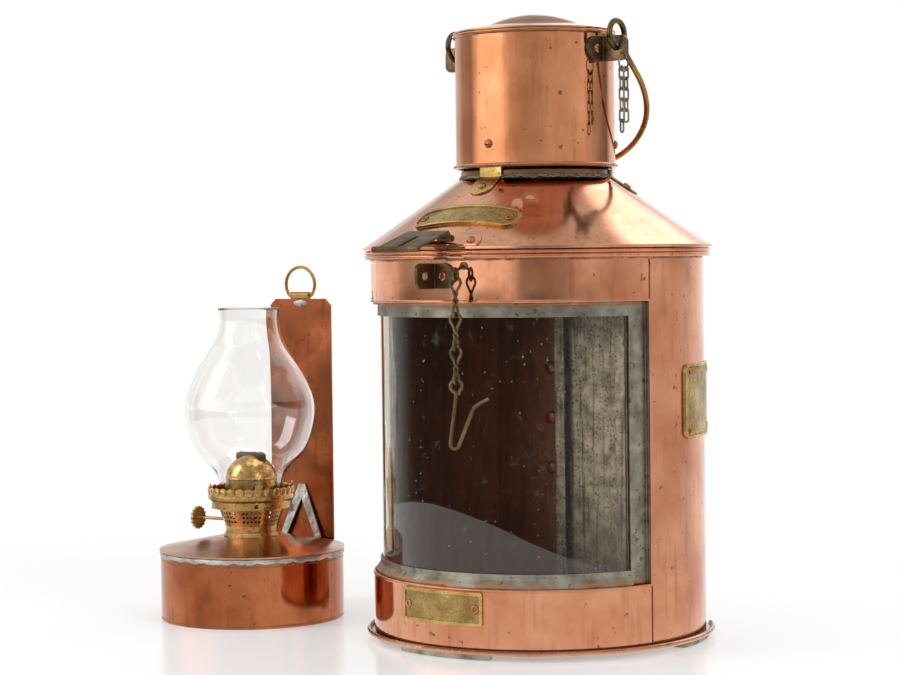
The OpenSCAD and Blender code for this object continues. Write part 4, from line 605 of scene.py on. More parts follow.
domeTree, eyeTree = rivetTree("rivetDomes", rivetSizes["detail"]), rivetTree("rivetEyelets")
domeValues = {"Ring": rivetSizes["domeMm"] * mm, "Rise": rivetSizes["riseShare"], "Material": finishes["copperRivet"]}
eyeValues = {"Ring": rivetSizes["ringMm"] * mm, "Lip": rivetSizes["lipMm"] * mm, "Rise": rivetSizes["lipShare"],
             "Material": finishes["copperRivet"]}
backLumps = lumpsOf("bracket_rivets")  # heads outside, and wider roves clenched over them inside the body
backMiddle = np.mean([pts.mean(0)[1] for pts in backLumps])
outside = [pts for pts in backLumps if pts.mean(0)[1] > backMiddle]
inside = [pts for pts in backLumps if pts.mean(0)[1] < backMiddle]
settle(growPiece("backRivets", rivetPoints("backRivetSpots", outside), domeTree, domeValues),
       "lantern_body", "copper", "bracket_rivets")
settle(growPiece("backRoves", rivetPoints("backRoveSpots", inside), domeTree, {
    "Ring": rivetSizes["roveMm"] * mm, "Rise": rivetSizes["roveShare"], "Material": finishes["copperRove"]}),
    "lantern_body", "copper")
settle(growPiece("plateEyelets", rivetPoints("plateRivetSpots", lumpsOf("plate_rivets")), eyeTree, eyeValues),
       "lantern_body", "copper", "plate_rivets")
titleSpan = {"low": 306.21, "high": 324.462, "front": -60}  # where the title plate's own rivets are, in mm
titleLumps, roofLumps = [], []
for pts in lumpsOf("roof_rivets"):
    cy, cz = pts.mean(0)[1:] / mm
    onTitle = titleSpan["low"] < cz < titleSpan["high"] and cy < titleSpan["front"]
    (titleLumps if onTitle else roofLumps).append(pts)
roofRivets = growPiece("roofRivets", rivetPoints("roofRivetSpots", roofLumps), domeTree, domeValues)
titleRivets = growPiece("titleEyelets", rivetPoints("titleRivetSpots", titleLumps), eyeTree, eyeValues)
settle(roofRivets, "roof", "copper", "roof_rivets")
settle(titleRivets, "roof", "copper")
print("rivets set,", len(roofLumps), "domes and", len(titleLumps), "eyelets on the roof")

# Plate faces: the bare stippled field inside each plate's rim
cone = {"z0": 291.0, "r0": 129.0, "slope": 0.6945}
plateFields = {
    "numberField": {"az": 0, "radius": 124.8, "z": 35.7, "w": 70, "h": 23.5, "corner": 1.0, "body": "lantern_body"},
    "makerField": {"az": 110, "radius": 124.0, "z": 177.2, "w": 76, "h": 54, "corner": 4.0, "body": "lantern_body"},
    "titleField": {"az": 4, "radius": 97.34, "w": 86, "h": 22, "corner": 6.8, "body": "roof"},
}
plateSheet = {"seat": 0.05, "thick": 1.2, "rim": 2.0, "proud": 0.12, "sink": 0.3, "rows": 25, "cols": 49}


def platePoint(plate, u, v, lift):  # a point of a plate's face, from its middle, lifted off what it lies on
    if "z" in plate:
        turn = math.degrees(math.asin(u / (plate["radius"] + lift)))
        return wallPoint(plate["az"] + turn, plate["radius"] + lift, plate["z"] + v)
    tilt = math.atan(cone["slope"])
    r = plate["radius"]
    middle = Vector((0, -r, cone["z0"] + (cone["r0"] - r) * cone["slope"]))
    up, out = Vector((0, math.cos(tilt), math.sin(tilt))), Vector((0, -math.sin(tilt), math.cos(tilt)))
    p = middle + Vector((u, 0, 0)) + up * v
    for i in range(8):  # down the plate's own normal until it meets the cone
        high = cone["z0"] + (cone["r0"] - p.xy.length) * cone["slope"] + lift / math.cos(tilt)
        p += out * (high - p.z) * math.cos(tilt)
    return Matrix.Rotation(math.radians(plate["az"]), 3, "Z") @ p * mm


def fieldMesh(name, plate):
    halfW, halfH = plate["w"] / 2 - plateSheet["rim"], plate["h"] / 2 - plateSheet["rim"]
    lift = plateSheet["seat"] + plateSheet["thick"]
    rows, cols = plateSheet["rows"], plateSheet["cols"]
    verts = []
    for level in (lift + plateSheet["proud"], lift - plateSheet["sink"]):
        for i in range(rows):
            v = halfH * math.sin(math.pi * (i / (rows - 1) - 0.5))
            over = max(0.0, abs(v) - (halfH - plate["corner"]))
            reach = halfW - plate["corner"] + math.sqrt(max(plate["corner"] ** 2 - over ** 2, 0.0))
            for k in range(cols):
                verts.append(platePoint(plate, reach * (2 * k / (cols - 1) - 1), v, level))
    return smoothMesh(name, verts, sheetFaces(rows, cols), finishes["brassField"], sharp=40)


for name, plate in plateFields.items():
    settle(linkObject(name, fieldMesh(name, plate)), plate["body"], "brass")

# Rope border inside the rim of the plate on the right side, laid as slanted strands
rope = {"insetMm": 3.3, "pitchMm": 1.45, "strandMm": 0.72, "stretch": 1.9, "slant": 0.9, "riseMm": 0.35, "bend": 8,
        "cornerIn": 1}


def ropeTree(name):
    tree, given = makeTree(name, {"Strand": "Float", "Stretch": "Float", "Slant": "Float", "Material": "Material"})
    along = addNode(tree, "GeometryNodeInputNamedAttribute", {"Name": "along"}, 0, data_type="FLOAT_VECTOR")
    turn = addNode(tree, "FunctionNodeAlignRotationToVector", {"Rotation": outwardTurn(tree), "Vector": along}, 0,
                   axis="X", pivot_axis="Z")
    bead = addNode(tree, "GeometryNodeMeshUVSphere", {"Segments": 8, "Rings": 6, "Radius": given["Strand"]}, 0)
    size = addNode(tree, "ShaderNodeCombineXYZ", (given["Stretch"], 1.0, 0.8), 0)
    lean = addNode(tree, "ShaderNodeCombineXYZ", (0.0, 0.0, given["Slant"]), 0)
    bead = addNode(tree, "GeometryNodeTransform", {"Geometry": bead, "Scale": size}, 0)
    bead = addNode(tree, "GeometryNodeTransform", {"Geometry": bead, "Rotation": lean}, 0)
    bead = addNode(tree, "GeometryNodeSetShadeSmooth", (bead,), 0)
    closeTree(tree, given, {"Instance": bead, "Rotation": turn})
    return tree


def ropePoints(name, plate):
    halfW, halfH = plate["w"] / 2 - rope["insetMm"], plate["h"] / 2 - rope["insetMm"]
    r = plate["corner"] - rope["cornerIn"]
    outline = []
    for sx, sy, start in ((1, 1, 0), (-1, 1, 90), (-1, -1, 180), (1, -1, 270)):
        for k in range(rope["bend"] + 1):
            a = math.radians(start + k * 90 / rope["bend"])
            outline.append(Vector((sx * (halfW - r) + r * math.cos(a), sy * (halfH - r) + r * math.sin(a))))
    ends = outline[1:] + outline[:1]
    total = sum((b - a).length for a, b in zip(outline, ends))
    count = round(total / rope["pitchMm"])
    lift = plateSheet["seat"] + plateSheet["thick"] + rope["riseMm"]
    spots, facing, lying = [], [], []
    travelled, wanted = 0.0, 0.0
    for a, b in zip(outline, ends):
        step = (b - a).length
        while wanted <= travelled + step and len(spots) < count:
            uv = a + (b - a) * ((wanted - travelled) / step)
            ahead = uv + (b - a).normalized() * 0.1
            here = platePoint(plate, uv.x, uv.y, lift)
            spots.append(here)
            facing.append((platePoint(plate, uv.x, uv.y, lift + 1) - here).normalized())
            lying.append((platePoint(plate, ahead.x, ahead.y, lift) - here).normalized())
            wanted += total / count
        travelled += step
    return pointMesh(name, spots, facing, lying)


settle(growPiece("makerRope", ropePoints("ropeSpots", plateFields["makerField"]), ropeTree("ropeBorder"), {
    "Strand": rope["strandMm"] * mm, "Stretch": rope["stretch"], "Slant": rope["slant"],
    "Material": finishes["brassPlate"]}), "lantern_body", "brass")
print("plates dressed")

# Keeper chain: each link is one wire, bent to a loop at both ends and twisted along its neck
keeper = {"az": 10.8, "radius": 138.8, "wireMm": 1.08, "loopMm": 4.1, "footMm": 3.7, "twist": 270, "steps": 72,
          "shoulder": 1.5, "shoulderShare": 0.866, "loopNeck": 2.5, "footNeck": 2.35}


def hangPoint(x, y, z):
    a = math.radians(keeper["az"])
    y -= keeper["radius"]
    return Vector((x * math.cos(a) - y * math.sin(a), x * math.sin(a) + y * math.cos(a), z)) * mm


def loopWidth(d, radius, neck):  # half the width this far from a loop's end: round, then drawn in to the neck
    shoulder, there = radius * keeper["shoulder"], radius * keeper["shoulderShare"]
    if d < shoulder:
        return math.sqrt(max(radius ** 2 - (d - radius) ** 2, 0.0))
    return max(there + (keeper["wireMm"] - there) * (d - shoulder) / (neck - shoulder), keeper["wireMm"])


def linkPath(top, length):
    neckTop, neckEnd = keeper["loopMm"] * keeper["loopNeck"], length - keeper["footMm"] * keeper["footNeck"]
    strand = []
    for i in range(keeper["steps"] + 1):
        d = length * (0.5 - 0.5 * math.cos(math.pi * i / keeper["steps"]))  # way down the link
        if d < neckTop:
            wide, turn = loopWidth(d, keeper["loopMm"], neckTop), 0.0
        elif d < neckEnd:
            wide, turn = keeper["wireMm"], keeper["twist"] * (d - neckTop) / (neckEnd - neckTop)
        else:
            wide, turn = loopWidth(length - d, keeper["footMm"], length - neckEnd), keeper["twist"]
        a = math.radians(turn)
        strand.append((wide * math.cos(a), wide * math.sin(a), top - d))
    back = [(-x, -y, z) for x, y, z in strand[-2:0:-1]]
    return [hangPoint(*p) for p in strand + back]


for name, length in (("keeper_link_1", 28), ("keeper_link_2", 26), ("keeper_link_3", 26)):
    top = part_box(name)[1].z / mm - keeper["wireMm"]
    piece = linkObject("wire_" + name, wireMesh(
        "wire_" + name, linkPath(top, length), keeper["wireMm"] * mm, 10, finishes["bronzeOld"], closed=True))
    settle(piece, name, "bronze", name)

hook = {"wireMm": 1.5, "eyeMm": 4.2, "bendMm": 3.4, "lean": 8, "backLean": 24, "leg": 36, "backLeg": 30, "tip": 13,
        "tipLean": 62, "drift": 0.16, "tail": (1.2, 1.6, -1.6), "thin": 0.9}


def hookPath(top):
    lean, back, out = (math.radians(hook[k]) for k in ("lean", "backLean", "tipLean"))
    eye, bend = hook["eyeMm"], hook["bendMm"]
    start = Vector((0, 0, -2 * eye))
    bottom = start - hook["leg"] * Vector((math.sin(lean), 0, math.cos(lean)))
    centre = bottom + bend * Vector((math.cos(lean), 0, -math.sin(lean)))
    turn = centre + bend * Vector((math.cos(back), 0, -math.sin(back)))
    rise = turn + hook["backLeg"] * Vector((math.sin(back), 0, math.cos(back)))
    end = rise + hook["tip"] * Vector((math.sin(out), 0, math.cos(out)))
    pts = [end, rise + (end - rise) * 0.25, rise + (turn - rise) * 0.1, turn + (rise - turn) * 0.3, turn]
    for k in range(1, 6):
        a = math.pi + lean + (math.pi - back - lean) * (1 - k / 6)
        pts.append(centre + bend * Vector((math.cos(a), 0, math.sin(a))))
    pts += [bottom, bottom + (start - bottom) * 0.5, start + (bottom - start) * 0.06]
    for k in range(1, 12):  # round the eye and back to its root
        a = -math.pi / 2 - 2 * math.pi * k / 12
        pts.append(Vector((eye * math.cos(a), hook["drift"] * (k - 6), eye * math.sin(a) - eye)))
    pts.append(start + Vector(hook["tail"]))
    return [hangPoint(p.x, p.y, p.z + top) for p in smoothPath(pts, 6)]


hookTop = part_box("keeper_hook")[1].z / mm - hook["wireMm"]
settle(linkObject("wire_keeper_hook", wireMesh(
    "wire_keeper_hook", hookPath(hookTop), hook["wireMm"] * mm * hook["thin"], 12, finishes["bronzeOld"])),
    "keeper_hook", "bronze", "keeper_hook")
print("keeper chain bent")

# Ear chain: oval links in two strands, hung from a ring that is served with fine wire
earChain = {"x": 78.9, "holeZ": 429.56, "ringMm": 6.0, "wireMm": 0.7, "lengthMm": 9.4, "halfMm": 1.9, "gap": 0.3,
            "counts": (6, 5), "ringSteps": 48, "wrapTurns": 10, "wrapMm": 0.42, "wrapSteps": 120, "wrapArc": 1.5,
            "wrapOut": 0.3}


def chainTree(name):
    tree, given = makeTree(name, {"Length": "Float", "Half Width": "Float", "Wire": "Float", "Material": "Material"})
    turn = addNode(tree, "FunctionNodeAlignRotationToVector", {
        "Rotation": outwardTurn(tree), "Vector": (0.0, 0.0, 1.0)}, 0, axis="Y", pivot_axis="Z")
    wide = addNode(tree, "ShaderNodeMath", (given["Half Width"], 2.0), 0, operation="MULTIPLY")
    shape = addNode(tree, "GeometryNodeCurvePrimitiveQuadrilateral", {"Width": wide, "Height": given["Length"]}, 0)
    near = addNode(tree, "ShaderNodeMath", (given["Half Width"], 0.999), 0, operation="MULTIPLY")
    shape = addNode(tree, "GeometryNodeFilletCurve", {"Curve": shape, "Count": 6, "Radius": near}, 0, mode="POLY")
    wire = addNode(tree, "GeometryNodeCurvePrimitiveCircle", {"Resolution": 8, "Radius": given["Wire"]}, 0)
    link = addNode(tree, "GeometryNodeCurveToMesh", {"Curve": shape, "Profile Curve": wire}, 0)
    link = addNode(tree, "GeometryNodeSetShadeSmooth", (link,), 0)
    closeTree(tree, given, {"Instance": link, "Rotation": turn})
    return tree


def chainSpots(name):
    c = earChain
    drop = 2 * c["wireMm"] + c["gap"]
    strandY = c["halfMm"] + c["wireMm"] + c["gap"]
    strandTop = c["holeZ"] - c["ringMm"] - math.sqrt((c["ringMm"] - drop) ** 2 - strandY ** 2)
    spots, facing = [], []
    for k, count in enumerate(c["counts"]):
        for i in range(count):
            z = strandTop - i * (c["lengthMm"] - drop) - c["lengthMm"] / 2
            spots.append(Vector((c["x"], (2 * k - 1) * strandY, z)) * mm)
            facing.append((0.0, 1.0, 0.0) if i % 2 == 0 else (1.0, 0.0, 0.0))
    return pointMesh(name, spots, facing)


chain = growPiece("earLinks", chainSpots("earLinkSpots"), chainTree("ovalLinks"), {
    "Length": earChain["lengthMm"] * mm, "Half Width": earChain["halfMm"] * mm, "Wire": earChain["wireMm"] * mm,
    "Material": finishes["wireBrown"]})
settle(chain, "ear_chain", "bronze", "ear_chain")
ringZ = earChain["holeZ"] - earChain["ringMm"]
ringPath = [Vector((earChain["x"], earChain["ringMm"] * math.cos(a), ringZ + earChain["ringMm"] * math.sin(a))) * mm
            for a in np.linspace(0, 2 * math.pi, earChain["ringSteps"], endpoint=False)]
settle(linkObject("earRing", wireMesh("earRing", ringPath, earChain["wireMm"] * mm, 10, finishes["wireBrown"],
                                      closed=True)), "ear_chain", "bronze")
wraps, wrapR = [], earChain["wireMm"] + earChain["wrapOut"]
for i in range(earChain["wrapSteps"] + 1):  # fine wire served round the foot of the ring
    t = i / earChain["wrapSteps"]
    a = -math.pi / 2 + (t - 0.5) * earChain["wrapArc"]
    spin = 2 * math.pi * earChain["wrapTurns"] * t
    r = earChain["ringMm"] + wrapR * math.cos(spin)
    wraps.append(Vector((earChain["x"] + wrapR * math.sin(spin), r * math.cos(a), ringZ + r * math.sin(a))) * mm)
settle(linkObject("earServing", wireMesh("earServing", wraps, earChain["wrapMm"] * mm, 8, finishes["wireBrown"])),
       "ear_chain", "bronze")
print("ear chain linked")

# Lamp glass: blown in one piece, turned from the same stations as the solid, but smooth
glass = {"foot": 24.7, "bulge": 51.5, "top": 24.5, "height": 157, "footZ": 88.25, "wall": 1.8, "steps": 160}


def glassMesh(name):
    f, b, t = glass["foot"], glass["bulge"], glass["top"]
    stations = [(0, f), (0.09, f), (0.175, f + 4), (0.3, 0.25 * f + 0.75 * b), (0.5, b), (0.68, 0.35 * t + 0.65 * b),
                (0.825, t + 3.5), (0.92, t - 0.5), (1, t)]  # share of the height, radius
    line = smoothPath([(s * glass["height"], r, 0) for s, r in stations], 10)
    outer = [(p.y, p.x) for p in line]
    profile = outer[1:-1] + [(t - 0.25, outer[-1][1] - 0.05), (t - glass["wall"] / 2, outer[-1][1])]
    profile += [(r - glass["wall"], z) for r, z in outer[-2:0:-1]] + [(f - glass["wall"] / 2, 0.0)]
    verts, faces = [], []
    n = len(profile)
    for i in range(glass["steps"]):
        a = 2 * math.pi * i / glass["steps"]
        verts += [lampPoint(r * math.cos(a), r * math.sin(a), z + glass["footZ"]) for r, z in profile]
        j = (i + 1) % glass["steps"]
        for k in range(n):
            m = (k + 1) % n
            faces.append((i * n + k, j * n + k, j * n + m, i * n + m))
    return smoothMesh(name, verts, faces, finishes["chimneyGlass"])


settle(linkObject("blownGlass", glassMesh("blownGlass")), "lamp_glass", "glass", "lamp_glass")

# Gallery: a pressed scale on each scallop of the burner's fence
scale = {"count": 28, "radius": 33.65, "z": 100.7, "wideMm": 3.55, "thickShare": 0.3, "detail": (20, 10)}
spots, facing = [], []
for i in range(scale["count"]):
    a = 2 * math.pi * (i + 0.5) / scale["count"]
    spots.append(lampPoint(scale["radius"] * math.cos(a), scale["radius"] * math.sin(a), scale["z"]))
    facing.append((spots[-1] - lampPoint(0, 0, scale["z"])).normalized())
settle(growPiece("galleryScales", pointMesh("scaleSpots", spots, facing), rivetTree(
    "pressedScales", scale["detail"]), {"Ring": scale["wideMm"] * mm, "Rise": scale["thickShare"],
                                        "Material": finishes["brassBurner"]}), "burner", "brass")

# Wick: charred crumbs along its top edge
crumb = {"density": 1.8e6, "sizeMm": 1.05, "halfW": 11.5, "halfT": 0.6, "seed": 7, "turn": 3.0,
         "least": (0.5, 0.5, 0.6), "most": (1.1, 1.2, 1.3), "sizeSeed": 3}


def crumbTree(name):
    tree, given = makeTree(name, {"Density": "Float", "Size": "Float", "Seed": "Int", "Material": "Material"})
    dots = addNode(tree, "GeometryNodeDistributePointsOnFaces", {
        "Mesh": given["Geometry"], "Density": given["Density"], "Seed": given["Seed"]}, 0)
    bit = addNode(tree, "GeometryNodeMeshIcoSphere", {"Radius": given["Size"], "Subdivisions": 2}, 0)
    turn = addNode(tree, "FunctionNodeRandomValue", {
        0: (-crumb["turn"],) * 3, 1: (crumb["turn"],) * 3, "Seed": given["Seed"]}, 0, data_type="FLOAT_VECTOR")
    size = addNode(tree, "FunctionNodeRandomValue", {
        0: crumb["least"], 1: crumb["most"], "Seed": crumb["sizeSeed"]}, 0, data_type="FLOAT_VECTOR")
    closeTree(tree, given, {"Points": dots, "Instance": bit, "Rotation": turn, "Scale": size})
    return tree


wickCut = {"halfW": 13.0, "halfT": 2.0, "cols": 40, "rows": 7, "ragged": 2.6, "fray": 0.5, "below": 0.6,
           "crumbBed": 1.6, "burnScale": (0.35, 0.5), "frayScale": (1.7, 1.5)}


def wickMesh(name, low, high):
    verts = []
    cols, rows = wickCut["cols"], wickCut["rows"]
    for level in (0, 1):
        for i in range(rows):
            for k in range(cols):
                x = wickCut["halfW"] * (2 * k / (cols - 1) - 1)
                y = wickCut["halfT"] * (2 * i / (rows - 1) - 1)
                (bx, by), (fx, fy) = wickCut["burnScale"], wickCut["frayScale"]
                burnt = 0.5 + 0.5 * noise.noise(Vector((x * bx, y * by, 3)))
                fray = wickCut["fray"] * noise.noise(Vector((x * fx, y * fy, 9)))
                z = low if level == 0 else high - wickCut["below"] - wickCut["ragged"] * burnt - fray
                verts.append(lampPoint(x, y, z))
    return smoothMesh(name, verts, sheetFaces(rows, cols), finishes["cotton"], sharp=40)


wickLow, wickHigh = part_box("wick")
wickTop = wickHigh.z / mm
settle(linkObject("wovenWick", wickMesh("wovenWick", wickLow.z / mm, wickTop)), "wick", "cotton", "wick")
topFace = bpy.data.meshes.new("wickTop")
topFace.from_pydata([lampPoint(x * crumb["halfW"], y * crumb["halfT"], wickTop - wickCut["crumbBed"])
                     for x, y in ((-1, -1), (1, -1), (1, 1), (-1, 1))], [], [(0, 1, 2, 3)])
settle(growPiece("wickChar", topFace, crumbTree("charCrumbs"), {
    "Density": crumb["density"], "Size": crumb["sizeMm"] * mm, "Seed": crumb["seed"], "Material": finishes["cotton"]}),
    "wick", "cotton")

# Ragged rings: solder wiped round the fount's shoulder, and putty where the neck leaves the cone
solder = {"radius": 72.55, "spread": 0.0, "flat": 0.0, "top": 54.0, "drop": 5.8, "ragged": 3.2, "thick": 0.6}
putty = {"radius": 56.3, "spread": 1.44, "flat": 1.6, "top": 343.4, "drop": 3.6, "ragged": 2.0, "thick": 0.7}
wiping = {"steps": 300, "broad": 9, "fine": 40, "fineMm": 0.6, "lumps": 30, "lumpShare": 0.35}


def raggedRing(name, ring, place, material):  # spread is how far the wall under it leans out for each mm down
    verts, faces = [], []
    shares = ((0.0, 0.0), (0.18, 0.8), (0.5, 1.0), (0.82, 0.85), (1.0, 0.0))  # way down, share of the thickness
    n = len(shares)
    for i in range(wiping["steps"]):
        a = 2 * math.pi * i / wiping["steps"]
        way = Vector((math.cos(a), math.sin(a), 0))
        foot = ring["drop"] - ring["ragged"] * (0.5 + 0.5 * noise.noise(way * wiping["broad"]))
        foot += wiping["fineMm"] * noise.noise(way * wiping["fine"])
        for down, share in shares:
            lump = 1 + wiping["lumpShare"] * noise.noise(way * wiping["lumps"] + Vector((0, 0, down * 2)))
            lean = max(0.0, foot * down - ring["flat"]) * ring["spread"]
            r = ring["radius"] + lean + ring["thick"] * share * lump
            verts.append(place(r * way.x, r * way.y, ring["top"] - foot * down))
        j = (i + 1) % wiping["steps"]
        for k in range(n):
            m = (k + 1) % n
            faces.append((i * n + k, i * n + m, j * n + m, j * n + k))
    return smoothMesh(name, verts, faces, material)


settle(linkObject("wipedSolder", raggedRing("wipedSolder", solder, lampPoint, finishes["tinSolder"])),
       "lamp", "tinned", "solder_seam")
settle(linkObject("neckPutty", raggedRing("neckPutty", putty, lambda x, y, z: Vector((x, y, z)) * mm,
                                          finishes["neckPutty"])), "roof", "tinned")

# Lift ring: a patch of solder under its bar, on the back plate's top edge
patch = {"wideMm": 9.5, "highMm": 3.4, "thickMm": 1.0, "dropMm": 3.6, "cols": 24, "rows": 12, "uneven": 0.22,
         "unevenScale": 2.3}


def patchMesh(name, middle):  # a flat lump with an uneven outline
    verts, faces = [], []
    for i in range(patch["rows"] + 1):
        lift = math.pi * (i / patch["rows"] - 0.5)
        for k in range(patch["cols"]):
            a = 2 * math.pi * k / patch["cols"]
            way = Vector((math.cos(lift) * math.cos(a), math.sin(lift), math.cos(lift) * math.sin(a)))
            grow = 1 + patch["uneven"] * noise.noise(way * patch["unevenScale"])
            turned = lampPoint(way.x * patch["wideMm"] * grow, way.y * patch["thickMm"], 0) - lampPoint(0, 0, 0)
            verts.append(middle + turned + Vector((0, 0, way.z * patch["highMm"] * grow * mm)))
    for i in range(patch["rows"]):
        for k in range(patch["cols"]):
            m = (k + 1) % patch["cols"]
            a, b = i * patch["cols"], (i + 1) * patch["cols"]
            faces.append((a + k, a + m, b + m, b + k))
    return smoothMesh(name, verts, faces, finishes["tinSolder"])


barLow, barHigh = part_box("ring_bar")
barMiddle = (barLow + barHigh) / 2
settle(linkObject("ringSolder", patchMesh("ringSolder", Vector((
    barMiddle.x, barMiddle.y, barLow.z - patch["dropMm"] * mm)))), "lamp", "tinned")

# Joint lines: a dark bead of old solder down both ends of the front bands
bead = {"wireMm": 0.42, "steps": 24, "endMm": 1.5, "sinkMm": 0.35, "waver": 0.12, "waverScale": 0.3}
for node in ("lower_front_band", "upper_front_band"):
    low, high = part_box(node)
    corners = np.array([v.co[:] for v in nodes[node].data.vertices])
    turns = np.degrees(np.arctan2(corners[:, 0], -corners[:, 1]))
    out = np.hypot(corners[:, 0], corners[:, 1]).max() / mm
    for side, turn in (("Left", turns.min()), ("Right", turns.max())):
        heights = np.linspace(low.z / mm + bead["endMm"], high.z / mm - bead["endMm"], bead["steps"])
        path = []
        for z in heights:
            stray = bead["waver"] * noise.noise(Vector((turn, 0, z * bead["waverScale"])))
            path.append(wallPoint(turn + stray, out - bead["sinkMm"], z))
        name = node.split("_")[0] + "Bead" + side
        settle(linkObject(name, wireMesh(name, path, bead["wireMm"] * mm, 8, finishes["copperNeck"])),
               "lantern_body", "copper")
print("lamp dressed, joints lined")

# Table: a round white top, a little glossy, that goes to plain white towards its edge
table = {"radius": 0.8, "middle": (-0.24, -0.18), "colour": "#f4f4f4", "near": 0.3, "glow": 0.32, "mirrorGlow": 1.0,
         "rough": 0.16, "shine": 0.35, "edge": 0.08, "sides": 96}
floorMesh = bpy.data.meshes.new("floor")
floorMesh.from_pydata([(table["middle"][0] + table["radius"] * math.cos(a),
                        table["middle"][1] + table["radius"] * math.sin(a), 0)
                       for a in np.linspace(0, 2 * math.pi, table["sides"], endpoint=False)],
                      [], [tuple(range(table["sides"]))])
floor = linkObject("floor", floorMesh)
floorMat, tree, shader, coord = newMaterial("white_acrylic_table")
shader.inputs["Base Color"].default_value = hexLinear(table["colour"])
shader.inputs["Roughness"].default_value = table["rough"]
shader.inputs["Specular IOR Level"].default_value = table["shine"]
rays = addNode(tree, "ShaderNodeLightPath").outputs
mirror = addNode(tree, "ShaderNodeMath", (rays["Is Glossy Ray"], rays["Is Transmission Ray"]), 0, operation="MAXIMUM")
away = addNode(tree, "ShaderNodeVectorMath", (coord, (*table["middle"], 0.0)), "Value", operation="DISTANCE")
away = addNode(tree, "ShaderNodeMapRange", (
    away, table["near"], table["radius"] - table["edge"], table["glow"], 1.0), 0, interpolation_type="SMOOTHSTEP")
away = addNode(tree, "ShaderNodeMath", (away, rays["Is Camera Ray"]), 0, operation="MULTIPLY")
fade = addNode(tree, "ShaderNodeMath", (mirror, table["mirrorGlow"], away), 0, operation="MULTIPLY_ADD")
glow = addNode(tree, "ShaderNodeEmission", {"Color": (1, 1, 1, 1), "Strength": 1.0}, 0)
mixed = addNode(tree, "ShaderNodeMixShader", (fade, shader.outputs[0], glow), 0)
tree.links.new(mixed, tree.nodes["Material Output"].inputs["Surface"])
floorMesh.materials.append(floorMat)

# World: white to the camera, and to metal and glass a room with bright screens on the left and high on the right;
# each row gives degrees round from the camera's side and a level, and the pairs where one wall gives way to the next
room = {
    "fill": 0.45, "ceiling": 0.78, "tint": (1.0, 0.985, 0.96, 1.0), "most": 2.6,
    "front": (0.574, -0.819, 0.0), "right": (0.819, 0.574, 0.0),  # level ways to the camera's side and its right
    "rise": (-0.024, -0.014), "above": (0.012, 0.03), "loft": (0.26, 0.4), "top": (0.76, 0.84), "behind": (-0.3, -0.6),
    "walls": {
        "lofty": ((-180, 0.5), (-164, 0.5), (-152, 1.0), (-118, 1.2), (-90, 1.3), (-40, 1.0), (20, 0.74), (100, 0.8),
                  (130, 1.4), (138, 2.6), (158, 2.6), (166, 0.6), (180, 0.5)),
        "high": ((-180, 0.9), (-140, 0.9), (-128, 0.6), (-104, 0.55), (-93, 1.6), (-84, 2.2), (-52, 2.2), (-36, 1.0),
                 (-20, 0.74), (4, 0.72), (20, 0.84), (52, 0.86), (74, 1.0), (92, 0.7), (124, 0.25), (136, 1.2),
                 (180, 1.15)),
        "level": ((-180, 1.15), (-150, 1.3), (-112, 1.2), (-102, 0.6), (-64, 0.5), (-54, 1.5), (-20, 1.5), (-10, 0.5),
                  (18, 0.46), (28, 0.86), (44, 0.86), (54, 0.62), (74, 0.8), (94, 0.8), (124, 0.8), (136, 1.15),
                  (180, 1.15)),
        "low": ((-180, 1.1), (-140, 1.1), (-124, 0.3), (-100, 0.05), (-14, 0.05), (4, 0.1), (20, 0.3), (52, 0.6),
                (74, 0.78), (94, 0.82), (124, 0.82), (136, 1.1), (180, 1.1)),
    },
}
world = bpy.data.worlds.new("studio")
bpy.context.scene.world = world
world.use_nodes = True
sky = world.node_tree
sky.nodes.clear()
rays = addNode(sky, "ShaderNodeLightPath").outputs
aim = addNode(sky, "ShaderNodeTexCoord", out="Generated")
ahead = addNode(sky, "ShaderNodeVectorMath", (aim, room["front"]), "Value", operation="DOT_PRODUCT")
aside = addNode(sky, "ShaderNodeVectorMath", (aim, room["right"]), "Value", operation="DOT_PRODUCT")
bearing = addNode(sky, "ShaderNodeMath", (aside, ahead), 0, operation="ARCTAN2")
bearing = addNode(sky, "ShaderNodeMapRange", (bearing, -math.pi, math.pi, 0.0, 1.0), 0)
walls = {}
for side, rows in room["walls"].items():
    ramp = addNode(sky, "ShaderNodeValToRGB", (bearing,))
    stops = ramp.color_ramp.elements
    while len(stops) < len(rows):
        stops.new(0.5)
    for i, (angle, level) in enumerate(rows):
        stops[i].position = (angle + 180) / 360
        stops[i].color = (*[level / room["most"]] * 3, 1)
    walls[side] = addNode(sky, "ShaderNodeMath", (ramp.outputs[0], room["most"]), 0, operation="MULTIPLY")
climb = addNode(sky, "ShaderNodeSeparateXYZ", (aim,), 2)
wall = walls["low"]
for band, upper in (("rise", "level"), ("above", "high"), ("loft", "lofty")):
    share = addNode(sky, "ShaderNodeMapRange", (climb, *room[band], 0.0, 1.0), 0)
    wall = addNode(sky, "ShaderNodeMix", {0: share, 2: wall, 3: walls[upper]}, 0, data_type="FLOAT")
top = addNode(sky, "ShaderNodeMapRange", (climb, *room["top"], 0.0, 1.0), 0, interpolation_type="SMOOTHSTEP")
shown = addNode(sky, "ShaderNodeMix", {0: top, 2: wall, 3: room["ceiling"]}, 0, data_type="FLOAT")
behind = addNode(sky, "ShaderNodeMapRange", (ahead, *room["behind"], 0.0, 1.0), 0)  # glass sees the white backdrop
through = addNode(sky, "ShaderNodeMix", {0: behind, 2: shown, 3: 1.0}, 0, data_type="FLOAT")
level = addNode(sky, "ShaderNodeMix", {0: rays["Is Glossy Ray"], 2: room["fill"], 3: shown}, 0, data_type="FLOAT")
level = addNode(sky, "ShaderNodeMix", {0: rays["Is Transmission Ray"], 2: level, 3: through}, 0, data_type="FLOAT")
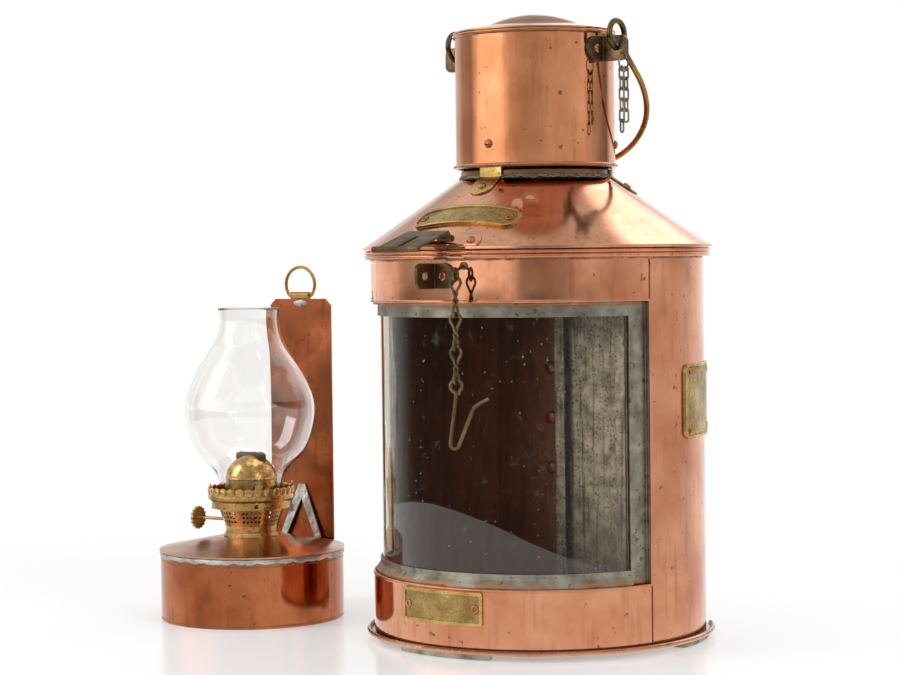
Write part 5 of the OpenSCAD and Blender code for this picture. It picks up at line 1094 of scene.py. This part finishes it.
level = addNode(sky, "ShaderNodeMix", {0: rays["Is Camera Ray"], 2: level, 3: 1.0}, 0, data_type="FLOAT")
colour = addNode(sky, "ShaderNodeMix", {0: rays["Is Glossy Ray"], 6: (1, 1, 1, 1), 7: room["tint"]}, 2,
                 data_type="RGBA")
back = addNode(sky, "ShaderNodeBackground", {"Color": colour, "Strength": level}, 0)
addNode(sky, "ShaderNodeOutputWorld", {"Surface": back})

lamps = {
    "softboxLeft": {"at": (-1.6, -1.5, 1.3), "to": (0, 0, 0.22), "size": (1.0, 1.6), "watts": 30},
    "softboxRight": {"at": (2.1, -0.5, 1.2), "to": (0, 0, 0.22), "size": (0.9, 1.6), "watts": 16},
    "softboxTop": {"at": (-0.1, 0.2, 2.2), "to": (0, 0, 0.2), "size": (1.6, 1.6), "watts": 22},
}
for name, lamp in lamps.items():
    light = bpy.data.lights.new(name, "AREA")
    light.shape = "RECTANGLE"
    light.size, light.size_y = lamp["size"]
    light.energy = lamp["watts"]
    obj = linkObject(name, light)
    place = Vector(lamp["at"])
    aimed = (Vector(lamp["to"]) - place).to_track_quat("-Z", "Y").to_matrix().to_4x4()
    obj.matrix_world = Matrix.Translation(place) @ aimed
    obj.visible_glossy = False  # the world above is what the metal mirrors

# Camera at the photograph's view
shot = {"at": (0.9895, -1.4131, 0.2824), "lens": 92.0, "sensor": 36.0, "clip": 80, "yaw": 2.183, "pitch": 1.964,
        "roll": -0.705, "ahead": (-0.5736, 0.8192, 0), "right": (0.8192, 0.5736, 0)}
cam = bpy.data.cameras.new("camera")
cam.lens, cam.sensor_width, cam.sensor_fit = shot["lens"], shot["sensor"], "HORIZONTAL"
cam.clip_end = shot["clip"]
ahead, right = Vector(shot["ahead"]), Vector(shot["right"])
yaw, pitch, roll = (math.radians(shot[k]) for k in ("yaw", "pitch", "roll"))
flat = ahead * math.cos(yaw) - right * math.sin(yaw)
right = (right * math.cos(yaw) + ahead * math.sin(yaw)).normalized()
forward = (flat * math.cos(pitch) - Vector((0, 0, math.sin(pitch)))).normalized()
up = right.cross(forward)
right, up = right * math.cos(roll) + up * math.sin(roll), up * math.cos(roll) - right * math.sin(roll)
camera = linkObject("camera", cam)
camera.matrix_world = Matrix.Translation(shot["at"]) @ Matrix((right, up, -forward)).transposed().to_4x4()
bpy.context.scene.camera = camera
bpy.context.scene.view_settings.view_transform = "Standard"
print("studio set")
